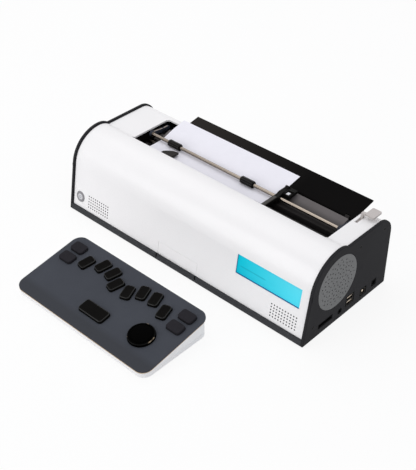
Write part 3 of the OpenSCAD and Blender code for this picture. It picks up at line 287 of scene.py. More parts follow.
# helpers that turn rings and CAD copies into finished pieces
def dress(piece, body, smooth, stands=()):
    piece.data.shade_smooth()
    piece.data.set_sharp_from_angle(angle=math.radians(smooth))
    if body:
        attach(piece, body)
    if stands:
        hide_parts(*stands)
    return piece


def settle(name, mesh, finish, body, smooth, stands=()):
    mesh.name = name
    if not mesh.materials:
        mesh.materials.append(None)
    mesh.materials[0] = finishes[finish]
    piece = bpy.data.objects.new(name, mesh)
    scene.collection.objects.link(piece)
    return dress(piece, body, smooth, stands)


def baked(piece):
    bpy.context.view_layer.update()
    solved = piece.evaluated_get(bpy.context.evaluated_depsgraph_get())
    mesh = bpy.data.meshes.new_from_object(solved)
    piece.modifiers.clear()
    old = piece.data
    piece.data = mesh
    bpy.data.meshes.remove(old)
    return piece


edges = {"weld": 2e-6, "flat": 0.6, "sharp": 32, "steps": 2, "rimSharp": 30, "rimSteps": 4, "onFace": 1e-6}


def roundRim(shell, outerX, radius):
    # the longest loop of sharp edges on the outer face is the panel's outline
    sharp = [e for e in shell.edges
             if len(e.link_faces) == 2 and e.calc_face_angle() > math.radians(edges["rimSharp"])
             and all(abs(v.co.x - outerX) < edges["onFace"] for v in e.verts)]
    loops, left = [], set(sharp)
    while left:
        grown, front = set(), [left.pop()]
        while front:
            edge = front.pop()
            grown.add(edge)
            near = [e for v in edge.verts for e in v.link_edges if e in left]
            left.difference_update(near)
            front += near
        loops.append(grown)
    outline = max(loops, key=lambda group: sum(e.calc_length() for e in group))
    bmesh.ops.bevel(shell, geom=list(outline), offset=radius / 1000, segments=edges["rimSteps"],
                    profile=0.5, affect="EDGES", clamp_overlap=False)


def softCopy(nodeName, name, finish, body, rounding, rim=None):
    mesh = nodes[nodeName].data.copy()
    shell = bmesh.new()
    shell.from_mesh(mesh)
    bmesh.ops.remove_doubles(shell, verts=shell.verts, dist=edges["weld"])
    bmesh.ops.dissolve_limit(shell, angle_limit=math.radians(edges["flat"]), verts=shell.verts,
                             edges=shell.edges)
    if rim:
        roundRim(shell, *rim)
    shell.to_mesh(mesh)
    shell.free()
    piece = settle(name, mesh, finish, None, edges["sharp"])
    bevel = piece.modifiers.new("roundedEdges", "BEVEL")
    bevel.width = rounding / 1000
    bevel.segments = edges["steps"]
    bevel.limit_method = "ANGLE"
    bevel.angle_limit = math.radians(edges["sharp"])
    bevel.use_clamp_overlap = True
    bevel.miter_outer = "MITER_ARC"
    even = piece.modifiers.new("evenShading", "WEIGHTED_NORMAL")
    even.mode = "FACE_AREA"
    even.weight = 100
    even.keep_sharp = True
    baked(piece)
    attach(piece, body)
    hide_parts(nodeName)


cornerSteps = {"key": 8, "fine": 3, "block": 4, "base": 10}


def ringOutline(width, depth, radius, steps):
    points = []
    for cornerX, cornerY, start in ((1, 1, 0), (-1, 1, 90), (-1, -1, 180), (1, -1, 270)):
        middle = Vector((cornerX * (width / 2 - radius), cornerY * (depth / 2 - radius)))
        for i in range(steps + 1):
            turn = math.radians(start + 90 * i / steps)
            points.append(middle + radius * Vector((math.cos(turn), math.sin(turn))))
    return points


def flatRing(width, depth, radius, z, steps):
    return [(p.x, p.y, z) for p in ringOutline(width, depth, radius, steps)]


def loft(mesh, rings, place=Matrix.Identity(4), closed=True):
    made = [[mesh.verts.new(place @ Vector(p)) for p in ring] for ring in rings]
    count = len(rings[0])
    for low, high in zip(made, made[1:]):
        for i in range(count if closed else count - 1):
            j = (i + 1) % count
            mesh.faces.new((low[i], low[j], high[j], high[i]))
    return made


# toMesh turns the faces of these outward
def capFan(mesh, ring, middle):
    centre = mesh.verts.new(middle)
    for i in range(len(ring)):
        mesh.faces.new((ring[i], ring[(i + 1) % len(ring)], centre))


def capEnds(mesh, rings):
    mesh.faces.new(rings[0])
    mesh.faces.new(rings[-1])


def closeTube(mesh, rings):
    # joins the last ring to the first, for a piece with a hole through it
    count = len(rings[0])
    for i in range(count):
        j = (i + 1) % count
        mesh.faces.new((rings[-1][i], rings[-1][j], rings[0][j], rings[0][i]))


def circleRing(radius, z, steps):
    turns = [2 * math.pi * i / steps for i in range(steps)]
    return [(radius * math.cos(a), radius * math.sin(a), z) for a in turns]


def turned(mesh, profile, x, y, z, steps):
    # profile holds (along X, radius) pairs, in millimetres
    rings = []
    for along, radius in profile:
        rings.append([spot(x + along, y + p[0], z + p[1]) for p in circleRing(radius, 0, steps)])
    return loft(mesh, rings)


def turnedSolid(mesh, profile, x, y, z, steps):
    made = turned(mesh, profile, x, y, z, steps)
    for i in (0, -1):
        capFan(mesh, made[i], spot(x + profile[i][0], y, z))


def toMesh(shell):
    bmesh.ops.recalc_face_normals(shell, faces=shell.faces)
    mesh = bpy.data.meshes.new("shape")
    shell.to_mesh(mesh)
    shell.free()
    return mesh


def built(name, lofts, finish, body, smooth, stands=(), close=capEnds, place=Matrix.Identity(4)):
    # lofts holds the rings of each solid in the piece
    shell = bmesh.new()
    for rings in lofts:
        close(shell, loft(shell, rings, place))
    settle(name, toMesh(shell), finish, body, smooth, stands)


def thickened(name, shell, finish, thick, smooth):
    # gives an open surface its thickness, half to each side
    mesh = bpy.data.meshes.new(name)
    shell.normal_update()
    shell.to_mesh(mesh)
    shell.free()
    piece = settle(name, mesh, finish, None, smooth)
    layer = piece.modifiers.new("thickness", "SOLIDIFY")
    layer.thickness = thick / 1000
    layer.offset = 0
    layer.use_even_offset = True
    return baked(piece)


# casings: copies of CAD nodes with rounded edges
casings = {
    "top_cover": ("whiteCover", "whiteShell", "machine", "white_shell", 0.35),
    "front_hatch": ("frontHatch", "whiteShell", "machine", "white_shell", 0.25),
    "left_panel": ("leftPanel", "charcoalPanel", "machine", "charcoal_panel", 0.2),
    "right_panel": ("rightPanel", "charcoalPanel", "machine", "charcoal_panel", 0.2),
    "base_tray": ("baseTray", "stripBlack", "machine", "black_plastic", 0.4),
    "chassis_plates": ("chassisPlates", "deckBlack", "machine", "black_plastic", 0.25),
    "paper_bed": ("paperBed", "trayBlack", "machine", "black_plastic", 0.2),
    "rest_flap": ("restFlap", "flapBlack", "flap", "black_plastic", 0.3),
    "release_lever": ("releaseLever", "leverGrey", "lever", "warm_grey", 0.4),
    "bail_arms": ("bailArms", "armSlate", "bail", "black_plastic", 0.3),
    "edge_guide": ("edgeGuide", "guideBlack", "guide", "black_plastic", 0.35),
    "carriage": ("carriageBlock", "noseBlack", "carriage", "black_plastic", 0.3),
    "speaker_grille": ("speakerGrille", "speakerGrey", "machine", "grey_grille", 0.15),
    "card_slot": ("cardSlot", "portBlack", "machine", "black_plastic", 0.2),
    "audio_jack": ("audioJack", "portBlack", "machine", "black_plastic", 0.2),
    "usb_sockets": ("usbSockets", "portBlack", "machine", "bright_steel", 0.15),
    "dc_inlet": ("dcInlet", "portBlack", "machine", "black_plastic", 0.2),
    "kb_plate": ("keyboardPlate", "slatePlate", "keyboard", "slate_plate", 0.35),
}
panelRims = {"left_panel": (-0.213, 1.0), "right_panel": (0.213, 1.0)}      # outer face, rim radius
for nodeName, (name, finish, body, slotName, rounding) in casings.items():
    softCopy(nodeName, name, finish, body, rounding, panelRims.get(nodeName))
print("casings rounded:", len(casings))


# nodes that keep their CAD shape
plainNodes = {
    "lcd_module": "boardGreen", "speaker": "speakerCone", "main_board": "boardGreen",
    "battery_pack": "cellWrap", "feet": "footRubber", "pivot_pins": "rodSteel",
    "carriage_rails": "rodSteel", "carriage_motor": "canSteel", "feed_motor": "canSteel",
    "pinch_rod": "rodSteel", "feed_shaft": "rodSteel", "feed_tyres": "rollerRubber",
    "feed_gear": "gearWhite", "feed_pinion": "gearBrass", "emboss_pins": "rodSteel",
    "lead_screw": "rodSteel", "kb_board": "boardGreen", "key_switches": "portBlack",
    "kb_battery": "cellWrap", "kb_feet": "footRubber",
}
for nodeName, finish in plainNodes.items():
    mesh = nodes[nodeName].data
    mesh.materials.clear()
    mesh.materials.append(finishes[finish])
print("plain nodes dressed:", len(plainNodes))


board = {"x": -4.7, "front": -168.814, "z": 9.65, "tilt": 9.25}
keyShape = {"height": 3.7, "flangeOut": 0.8, "flangeTop": -2.4, "flangeLow": -3.4, "stemRadius": 1.5,
            "stemTip": -6.7, "stemTurn": -2.0, "shoulderSteps": 5, "dishShares": (0.9, 0.75, 0.55, 0.3)}
brailleKeys = {"width": 14.2, "length": 22.0, "corner": 4.2, "edge": 1.1, "dish": 0.35,
               "x": (70.5, 47.7, 27.4, 11.0), "up": (82.8, 91.3, 89.5, 78.5),
               "turn": (13.0, 16.0, 17.5, 17.5),
               "names": ("dot7", "dot3", "dot2", "dot1", "dot4", "dot5", "dot6", "dot8")}
functionKeys = {"width": 22.0, "length": 15.2, "corner": 4.0, "edge": 0.9, "dish": 0.0, "x": 98.6,
                "up": (74.6, 95.1)}
spaceKey = {"width": 41.5, "length": 19.0, "corner": 4.0, "edge": 1.2, "dish": 0.3, "up": 31.5}
padKey = {"radius": 17.5, "x": 74.2, "up": 40.8, "crown": 1.2, "edge": 0.9, "groove": 2.2, "steps": 72,
          "rimTurns": (18, 36, 54, 72, 90), "grooveProfile": ((0.5, -0.15), (0.0, -0.4), (-0.5, -0.1)),
          "domeIn": 1.0, "domeRadii": (12, 9, 6, 3), "domeDrop": 0.2}


def inFrame(place):
    return Matrix.Scale(0.001, 4) @ Matrix.Translation(Vector((0, -setMid, footHeight))) @ place


def onPlate(x, up, turn=0.0):
    shift = Matrix.Translation(Vector((board["x"], board["front"], board["z"])))
    tilt = Matrix.Rotation(math.radians(board["tilt"]), 4, "X")
    place = shift @ tilt @ Matrix.Translation(Vector((x, up, 0)))
    return inFrame(place @ Matrix.Rotation(math.radians(turn), 4, "Z"))


def capPiece(name, node, rings, place, rim, rimSteps, middleZ, finish, rimFinish):
    # closes a key's rings, with its rim in a finish of its own
    count, shell = len(rings[0]), bmesh.new()
    made = loft(shell, rings, place)
    shell.faces.ensure_lookup_table()
    for face in shell.faces[rim * count:(rim + rimSteps) * count]:
        face.material_index = 1
    capFan(shell, made[-1], place @ Vector((0, 0, middleZ)))
    capFan(shell, made[0], place @ Vector((0, 0, keyShape["stemTip"])))
    piece = settle(name, toMesh(shell), finish, node, 40, [node])
    piece.data.materials.append(finishes[rimFinish])


def keyCap(name, node, sizes, place, finish, shoulderFinish):
    top, edge, steps = keyShape["height"], sizes["edge"], keyShape["shoulderSteps"]
    flange, low, radius = keyShape["flangeOut"], keyShape["flangeLow"], keyShape["stemRadius"]

    def level(out, z):
        wide, long = sizes["width"] + 2 * out, sizes["length"] + 2 * out
        return flatRing(wide, long, sizes["corner"] + out, z, cornerSteps["key"])

    def stem(z):
        turns = [2 * math.pi * (i + 0.5) / count + math.radians(keyShape["stemTurn"]) for i in range(count)]
        return [(radius * math.cos(a), radius * math.sin(a), z) for a in turns]

    count = len(level(0, 0))
    rings = [stem(keyShape["stemTip"]), stem(low), level(flange, low), level(flange, keyShape["flangeTop"]),
             level(0, keyShape["flangeTop"]), level(0, top - edge)]
    shoulder = len(rings) - 1
    for i in range(1, steps + 1):
        turn = math.radians(90 * i / steps)
        rings.append(level(-edge * (1 - math.cos(turn)), top - edge + edge * math.sin(turn)))
    inner = rings[-1]
    for share in keyShape["dishShares"]:
        drop = sizes["dish"] * (1 - share ** 2)
        rings.append([(p[0] * share, p[1] * share, top - drop) for p in inner])
    capPiece(name, node, rings, place, shoulder, steps, top - sizes["dish"], finish, shoulderFinish)


for i, dot in enumerate(brailleKeys["names"]):
    side, k = (-1, i) if i < 4 else (1, 7 - i)
    place = onPlate(side * brailleKeys["x"][k], brailleKeys["up"][k], side * brailleKeys["turn"][k])
    keyCap("brailleKey_" + dot, "key_" + dot, brailleKeys, place, "keyBlack", "keyShoulder")
for side, sideName in ((-1, "left"), (1, "right")):
    for up, rowName in zip(functionKeys["up"], ("lower", "upper")):
        keyCap(f"functionKey_{sideName}_{rowName}", f"key_{sideName}_{rowName}", functionKeys,
               onPlate(side * functionKeys["x"], up), "keyMatte", "keyMatte")
keyCap("spaceKey", "space_bar", spaceKey, onPlate(0, spaceKey["up"]), "keyBlack", "keyShoulder")


def padCap():
    top, radius, edge, crown = keyShape["height"], padKey["radius"], padKey["edge"], padKey["crown"]
    dome = (radius ** 2 + crown ** 2) / (2 * crown)

    def height(r):
        return top + crown - dome + math.sqrt(dome ** 2 - r ** 2) - padKey["domeDrop"]

    stem, flange = keyShape["stemRadius"], radius + keyShape["flangeOut"]
    profile = [(stem, keyShape["stemTip"]), (stem, keyShape["flangeLow"]), (flange, keyShape["flangeLow"]),
               (flange, keyShape["flangeTop"]), (radius, keyShape["flangeTop"]), (radius, top - edge)]
    rim = len(profile) - 1
    for turn in padKey["rimTurns"]:
        a = math.radians(turn)
        profile.append((radius - edge * (1 - math.cos(a)), top - edge + edge * math.sin(a)))
    inset = radius - edge - padKey["groove"]
    profile += [(inset + out, top + up) for out, up in padKey["grooveProfile"]]
    profile += [(r, height(r)) for r in (inset - padKey["domeIn"], *padKey["domeRadii"])]
    rings = [circleRing(r, z, padKey["steps"]) for r, z in profile]
    place = onPlate(padKey["x"], padKey["up"])
    capPiece("roundPad", "round_pad", rings, place, rim, len(padKey["rimTurns"]), height(0), "padGloss",
             "padRim")


padCap()
print("keys made")


sheet = {"left": -133.5, "right": 76.5, "thick": 0.24, "hingeY": 134.5, "hingeZ": 104.05, "restLength": 22.0,
         "rest": 11.0, "rampY": 112.0, "flatZ": 96.65, "curlY": 90.0, "curlRadius": 40.0, "curlTurn": 115.04,
         "rampBend": 50.0, "hingeBend": 60.0, "across": 42, "restSteps": 6, "bendSteps": 20, "curlSteps": 32}


def roundedPath(points, radii, steps):
    path = [points[0]]
    for before, here, after, radius in zip(points, points[1:], points[2:], radii):
        back, ahead = (before - here).normalized(), (after - here).normalized()
        half = back.angle(ahead) / 2
        reach = radius / math.tan(half)
        middle = here + (back + ahead).normalized() * radius / math.sin(half)
        start, end = here + back * reach, here + ahead * reach
        for i in range(steps + 1):
            step = (start.lerp(end, i / steps) - middle).normalized()
            path.append(middle + step * radius)
    path.append(points[-1])
    return path


def loadedSheet():
    hinge = Vector((sheet["hingeY"], sheet["hingeZ"]))
    lean = math.radians(sheet["rest"])
    corners = [hinge + sheet["restLength"] * Vector((math.cos(lean), math.sin(lean))), hinge,
               Vector((sheet["rampY"], sheet["flatZ"])), Vector((sheet["curlY"], sheet["flatZ"]))]
    path = roundedPath(corners, (sheet["hingeBend"], sheet["rampBend"]), sheet["bendSteps"])
    fineRest = [path[0].lerp(path[1], i / sheet["restSteps"]) for i in range(sheet["restSteps"])]
    path = fineRest + path[1:]
    middle = Vector((sheet["curlY"], sheet["flatZ"] - sheet["curlRadius"]))
    for i in range(1, sheet["curlSteps"] + 1):
        turn = math.radians(90 + sheet["curlTurn"] * i / sheet["curlSteps"])
        path.append(middle + sheet["curlRadius"] * Vector((math.cos(turn), math.sin(turn))))
    step = (sheet["right"] - sheet["left"]) / sheet["across"]
    shell = bmesh.new()
    loft(shell, [[spot(sheet["left"] + step * i, *p) for i in range(sheet["across"] + 1)] for p in path],
         closed=False)
    piece = thickened("loadedSheet", shell, "braillePaper", sheet["thick"], 60)
    dress(piece, None, 50)
    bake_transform(piece)
    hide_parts("paper_sheet")


loadedSheet()
print("sheet laid")


rollers = {"x": (-103.7, 29.0), "y": 107.0, "z": 101.95, "length": 22.0, "radius": 4.62, "bore": 2.42,
           "sides": 48,
           "rounding": ((0.0, 1.1), (0.5, 0.35), (1.2, 0.0)),        # run from the end, drop from the rim
           "flutes": 10, "fluteRadius": 0.5, "fluteRun": 20.4, "fluteIn": 0.19, "fluteSides": 10}


def repeatTree(name, inputs):
    # a node group with named inputs, the identifier of each, and their outputs in the tree
    tree = bpy.data.node_groups.new(name, "GeometryNodeTree")
    for way in ("INPUT", "OUTPUT"):
        tree.interface.new_socket("Geometry", in_out=way, socket_type="NodeSocketGeometry")
    ids = {}
    for label, kind in (*inputs, ("Finish", "Material")):
        socket = tree.interface.new_socket(label, in_out="INPUT", socket_type="NodeSocket" + kind)
        ids[label] = socket.identifier
    return tree, ids, tree.nodes.new("NodeGroupInput").outputs


def shape(tree, kind, inputs, **settings):
    return added(tree, "GeometryNode" + kind, inputs, **settings).outputs[0]


def endTree(tree, given, instance, **more):
    # copies on the given points become one mesh in the given finish
    copies = shape(tree, "InstanceOnPoints", {"Points": given["Geometry"], "Instance": instance, **more})
    whole = shape(tree, "RealizeInstances", {"Geometry": copies})
    painted = shape(tree, "SetMaterial", {"Geometry": whole, "Material": given["Finish"]})
    added(tree, "NodeGroupOutput", {"Geometry": painted})


def grow(name, tree, ids, values, base, finish, body, slotName, stands=()):
    piece = bpy.data.objects.new(name, base)
    scene.collection.objects.link(piece)
    modifier = piece.modifiers.new("repeat", "NODES")
    modifier.node_group = tree
    for label, value in values.items():
        modifier[ids[label]] = value
    modifier[ids["Finish"]] = finishes[finish]
    baked(piece)
    piece.data.materials.clear()
    piece.data.materials.append(finishes[finish])
    return dress(piece, body, 40, stands)


def spotMesh(name, spots):
    mesh = bpy.data.meshes.new(name)
    mesh.from_pydata(spots, [], [])
    return mesh


def fluteTree():
    tree, ids, given = repeatTree("rollerFlutes", (("Count", "Int"), ("Radius", "Float"), ("Run", "Float"),
                                                   ("Bar Radius", "Float")))
    circle = shape(tree, "MeshCircle", {"Vertices": given["Count"], "Radius": given["Radius"]})
    bar = shape(tree, "MeshCylinder", {"Vertices": rollers["fluteSides"], "Depth": given["Run"],
                                       "Radius": given["Bar Radius"]})
    turn = (0, math.radians(90), 0)
    ring, flute = [shape(tree, "Transform", {"Geometry": part, "Rotation": turn}) for part in (circle, bar)]
    endTree(tree, given, shape(tree, "InstanceOnPoints", {"Points": ring, "Instance": flute}))
    return tree, ids


def pinchRollers():
    half, radius = rollers["length"] / 2, rollers["radius"]
    end = [(0, rollers["bore"])] + [(run, radius - drop) for run, drop in rollers["rounding"]]
    profile = [(run - half, r) for run, r in end] + [(half - run, r) for run, r in reversed(end)]
    shell = bmesh.new()
    for x in rollers["x"]:
        closeTube(shell, turned(shell, profile, x, rollers["y"], rollers["z"], rollers["sides"]))
    settle("pinchRollers", toMesh(shell), "rollerRubber", "rod", 30, ["pinch_rollers"])
    values = {"Count": rollers["flutes"], "Radius": (radius - rollers["fluteIn"]) / 1000,
              "Run": rollers["fluteRun"] / 1000, "Bar Radius": rollers["fluteRadius"] / 1000}
    base = spotMesh("rollerSpots", [spot(x, rollers["y"], rollers["z"]) for x in rollers["x"]])
    # the flutes take the lighter ridge finish, a painted highlight
    grow("rollerFlutes", *fluteTree(), values, base, "rollerRidge", "rod", "soft_rubber")


pinchRollers()
print("rollers made")


front = {"lean": 9.63293, "coverIn": 4.7, "coverStep": 2.2}
display = {"x": 145.7, "up": 59.8, "width": 101.0, "height": 27.6, "recess": 1.0, "corner": 0.4, "gap": 0.02,
           "rim": ((0.02, 0.3), (0.12, 0.1), (0.3, 0.0)), "edgeGap": 0.03, "edgeZ": (-0.5, 0.45),
           "edge": {"low": 1.3, "top": 0.39, "left": 0.65, "right": 0.39}}
button = {"x": -194.6, "up": 24.8, "radius": 7.9, "proud": 0.8, "steps": 64,
          "flange": 1.5, "flangeThick": 1.4, "flangeGap": 0.3,
          "rim": ((0.0, -0.6), (-0.15, -0.2), (-0.6, 0.0)),
          # shares of the radius, with heights above the face
          "groove": ((0.66, 0.0), (0.62, -0.35), (0.58, -0.35)),
          "disc": ((0.575, -0.45), (0.575, -0.2), (0.53, -0.08), (0.3, 0.0)), "discTop": 0.02}
mark = {"up": 0.04, "thick": 0.08, "radii": (0.2, 0.26), "from": 60, "turn": 300, "steps": 30,
        "barHalf": 0.22, "barReach": (0.1, 0.31)}


def onFront(x, up):
    tilt = Matrix.Rotation(math.radians(90 - front["lean"]), 4, "X")
    return inFrame(Matrix.Translation(Vector((x, 0, 0))) @ tilt @ Matrix.Translation(Vector((0, up, 0))))


def displayWindow():
    place = onFront(display["x"], display["up"])
    top = -front["coverStep"] - display["recess"]
    wide, high = display["width"] / 2, display["height"] / 2
    levels = [(display["gap"], -front["coverIn"])] + [(inset, top - drop) for inset, drop in display["rim"]]
    rings = [flatRing(2 * (wide - inset), 2 * (high - inset), display["corner"], z, cornerSteps["fine"])
             for inset, z in levels]
    built("displayWindow", [rings], "displayCyan", "machine", 30, ["lcd_window"], place=place)
    # deep blue strips round the window, thickest below
    edge, gap = display["edge"], display["edgeGap"]
    strips = ((-wide, -high, wide, edge["low"] - high), (-wide, high - edge["top"], wide, high),
              (-wide, -high, edge["left"] - wide, high), (wide - edge["right"], -high, wide, high))
    lofts = []
    for left, low, right, up in strips:
        left, low, right, up = left + gap, low + gap, right - gap, up - gap
        outline = ((left, low), (right, low), (right, up), (left, up))
        lofts.append([[(x, y, top + z) for x, y in outline] for z in display["edgeZ"]])
    built("displayEdge", lofts, "displayEdge", "machine", 30, place=place)


def powerButton():
    place, steps = onFront(button["x"], button["up"]), button["steps"]
    face, radius = button["proud"] - front["coverStep"], button["radius"]
    under, flange = -front["coverIn"] - button["flangeGap"], radius + button["flange"]
    profile = [(flange, under - button["flangeThick"]), (flange, under), (radius, under)]
    profile += [(radius + out, face + up) for out, up in button["rim"]]
    profile += [(radius * share, face + up) for share, up in button["groove"]]
    shell = bmesh.new()
    made = loft(shell, [circleRing(r, z, steps) for r, z in profile], place)
    capFan(shell, made[0], place @ Vector((0, 0, profile[0][1])))
    capFan(shell, made[-1], place @ Vector((0, 0, profile[-1][1])))
    settle("buttonRing", toMesh(shell), "buttonGrey", "power", 40, ["power_button"])
    shell = bmesh.new()
    made = loft(shell, [circleRing(radius * share, face + up, steps) for share, up in button["disc"]], place)
    capFan(shell, made[-1], place @ Vector((0, 0, face + button["discTop"])))
    settle("buttonDisc", toMesh(shell), "buttonPale", "power", 40)
    buttonMark(place, face + mark["up"])


def buttonMark(place, z):
    # power mark: an open ring and a short bar
    radius, half, shell = button["radius"], mark["barHalf"], bmesh.new()
    turns = [math.radians(mark["from"] - mark["turn"] * i / mark["steps"]) for i in range(mark["steps"] + 1)]
    loft(shell, [[(radius * share * math.cos(a), radius * share * math.sin(a), z) for a in turns]
                 for share in mark["radii"]], place, closed=False)
    low, high = [radius * share for share in mark["barReach"]]
    bar = ((-half, low), (half, low), (half, high), (-half, high))
    shell.faces.new([shell.verts.new(place @ Vector((x, y, z))) for x, y in bar])
    piece = thickened("buttonMark", shell, "markBlue", mark["thick"], 40)
    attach(piece, "power")


baseStrip = {"nicks": (-38.0, 33.0), "half": 1.06, "low": 3.2, "high": 8.05, "face": -0.55, "deep": -1.4,
             "chamfer": 0.1, "corner": 0.2}
sideLine = {"bulge": (62.0, 63.5), "bulgeRadius": 50.5, "shoulder": (62.0, 84.0), "shoulderRadius": 30.0,
            "shoulderFrom": 88, "deck": 108.0, "rearRadius": 25.0, "depth": 170.0, "stripTop": 8.2,
            "end": 208.98, "band": 1.1, "proud": 0.35, "sunk": 0.1, "steps": (28, 12, 20)}


def stripNicks():
    # dark bottoms of the two grooves in the base strip: painted shade in the grooves
    low, high, face, chamfer = baseStrip["low"], baseStrip["high"], baseStrip["face"], baseStrip["chamfer"]
    rings = []
    for inset, z in ((0.0, baseStrip["deep"]), (0.0, face - chamfer), (chamfer, face)):
        wide, tall = 2 * (baseStrip["half"] - inset), high - low - 2 * inset
        rings.append(flatRing(wide, tall, baseStrip["corner"], z, cornerSteps["fine"]))
    shell = bmesh.new()
    for x in baseStrip["nicks"]:
        capEnds(shell, loft(shell, rings, onFront(x, (low + high) / 2)))
    settle("stripNicks", toMesh(shell), "portBlack", "machine", 30)


def coverLine(inset):
    # the machine's side outline from the strip over the bulge and the deck to the rear wall
    lean = math.radians(front["lean"])
    points = [Vector((inset / math.cos(lean) + sideLine["stripTop"] * math.tan(lean), sideLine["stripTop"]))]

    def arc(middle, radius, start, end, steps):
        for i in range(steps + 1):
            turn = math.radians(start + (end - start) * i / steps)
            points.append(Vector(middle) + radius * Vector((math.cos(turn), math.sin(turn))))

    bulgeSteps, shoulderSteps, rearSteps = sideLine["steps"]
    arc(sideLine["bulge"], sideLine["bulgeRadius"] - inset, 180 - front["lean"], 90, bulgeSteps)
    deckZ, middle, radius = sideLine["deck"], sideLine["shoulder"], sideLine["shoulderRadius"] - inset
    meet = math.degrees(math.asin((deckZ - inset - middle[1]) / radius))
    arc(middle, radius, sideLine["shoulderFrom"], meet, shoulderSteps)
    rear = sideLine["rearRadius"]
    arc((sideLine["depth"] - rear, deckZ - rear), rear - inset, 90, 0, rearSteps)
    points.append(Vector((sideLine["depth"] - inset, sideLine["stripTop"])))
    return points


def panelGaskets():
    # dark lines where the white cover meets the end panels
    outer = coverLine(front["coverStep"] - sideLine["proud"])
    inner = coverLine(front["coverStep"] + sideLine["sunk"])
    lofts = []
    for way in (-1, 1):
        far, near = way * sideLine["end"], way * (sideLine["end"] - sideLine["band"])
        lofts.append([[spot(far, *low), spot(far, *high), spot(near, *high), spot(near, *low)]
                      for low, high in zip(inner, outer)])
    built("panelGaskets", lofts, "stripBlack", "machine", 30)


grilles = {"x": (-157.6, 176.2), "up": 24.2, "columns": 10, "rows": 5, "pitch": 4.3, "radius": 1.05,
           "depth": 0.5, "proud": 0.03, "sides": 16}


def dotTree():
    tree, ids, given = repeatTree("grilleDots", (("Columns", "Int"), ("Rows", "Int"), ("Wide", "Float"),
                                                 ("High", "Float"), ("Radius", "Float"), ("Depth", "Float")))
    field = shape(tree, "MeshGrid", {"Vertices X": given["Columns"], "Vertices Y": given["Rows"],
                                     "Size X": given["Wide"], "Size Y": given["High"]})
    plug = shape(tree, "MeshCone", {"Vertices": grilles["sides"], "Radius Top": given["Radius"],
                                    "Radius Bottom": given["Radius"], "Depth": given["Depth"]})
    flat = shape(tree, "InstanceOnPoints", {"Points": field, "Instance": plug})
    lean = (math.radians(90 - front["lean"]), 0, 0)
    endTree(tree, given, shape(tree, "Transform", {"Geometry": flat, "Rotation": lean}))
    return tree, ids


def grilleDots():
    # dark plugs sunk in the holes of the two front grilles: painted shade in the holes
    sunk = Vector((0, 0, grilles["proud"] - front["coverStep"] - grilles["depth"]))
    base = spotMesh("grilleSpots", [onFront(x, grilles["up"]) @ sunk for x in grilles["x"]])
    pitch = grilles["pitch"] / 1000
    columns, rows = grilles["columns"], grilles["rows"]
    values = {"Columns": columns, "Rows": rows, "Wide": pitch * (columns - 1), "High": pitch * (rows - 1),
              "Radius": grilles["radius"] / 1000, "Depth": grilles["depth"] / 1000}
    grow("grilleDots", *dotTree(), values, base, "plugGrey", "machine", "grey_grille")


displayWindow()
powerButton()
stripNicks()
panelGaskets()
grilleDots()
print("front face dressed")


screws = {"places": ((18.3, 19.7), (104.5, 93.6), (154.2, 93.4)), "endX": 212.98, "headSides": 32,
          "shankSides": 20, "sizes": {"Head Radius": 2.8, "Head Depth": 1.3, "Shank Radius": 1.3,
                                      "Shank Length": 11.0, "Slot Width": 0.75, "Slot Length": 3.4,
                                      "Slot Depth": 0.9}}


def screwTree():
    tree, ids, given = repeatTree("crossScrews", [(label, "Float") for label in screws["sizes"]])

    def vector(inputs):
        return added(tree, "ShaderNodeCombineXYZ", inputs).outputs[0]

    def upright(sides, radius, length, shift):
        bar = shape(tree, "MeshCylinder", {"Vertices": sides, "Radius": radius, "Depth": length})
        return shape(tree, "Transform", {"Geometry": bar, "Translation": vector({"Z": shift})})

    # the screw stands on Z, with its head's top at zero
    depth, length = given["Head Depth"], given["Shank Length"]
    head = upright(screws["headSides"], given["Head Radius"], depth, maths(tree, "MULTIPLY", depth, -0.5))
    shift = maths(tree, "SUBTRACT", maths(tree, "MULTIPLY", length, -0.5), depth)
    shank = upright(screws["shankSides"], given["Shank Radius"], length, shift)
    cut = added(tree, "GeometryNodeMeshBoolean", {"Mesh 1": head}, operation="DIFFERENCE")
    slotDepth = maths(tree, "MULTIPLY", given["Slot Depth"], 2.0)
    for x, y in (("Slot Length", "Slot Width"), ("Slot Width", "Slot Length")):
        size = vector({"X": given[x], "Y": given[y], "Z": slotDepth})
        feed(tree, cut, {"Mesh 2": shape(tree, "MeshCube", {"Size": size})})
    both = tree.nodes.new("GeometryNodeJoinGeometry")
    for part in (cut.outputs["Mesh"], shank):
        feed(tree, both, {"Geometry": part})
    facing = shape(tree, "InputNamedAttribute", {"Name": "facing"}, data_type="FLOAT")
    toSide = added(tree, "FunctionNodeEulerToRotation", {"Euler": vector({"Y": facing})})
    endTree(tree, given, both.outputs["Geometry"], Rotation=toSide.outputs["Rotation"])
    return tree, ids


def panelScrews():
    spots = [(side, y, z) for side in (-1, 1) for y, z in screws["places"]]
    base = spotMesh("screwSpots", [spot(side * screws["endX"], y, z) for side, y, z in spots])
    facing = base.attributes.new("facing", "FLOAT", "POINT")
    facing.data.foreach_set("value", [side * math.pi / 2 for side, y, z in spots])
    values = {label: size / 1000 for label, size in screws["sizes"].items()}
    grow("panelScrews", *screwTree(), values, base, "screwBlack", "machine", "bright_steel",
         ["panel_screws"])


panelScrews()
print("screws driven")


anvil = {"left": -138.0, "right": 173.5, "front": 85.0, "rear": 93.0, "low": 88.0, "top": 95.9, "crown": 3.6,
         "chamfer": 0.6, "endShare": 0.86, "steps": 24}


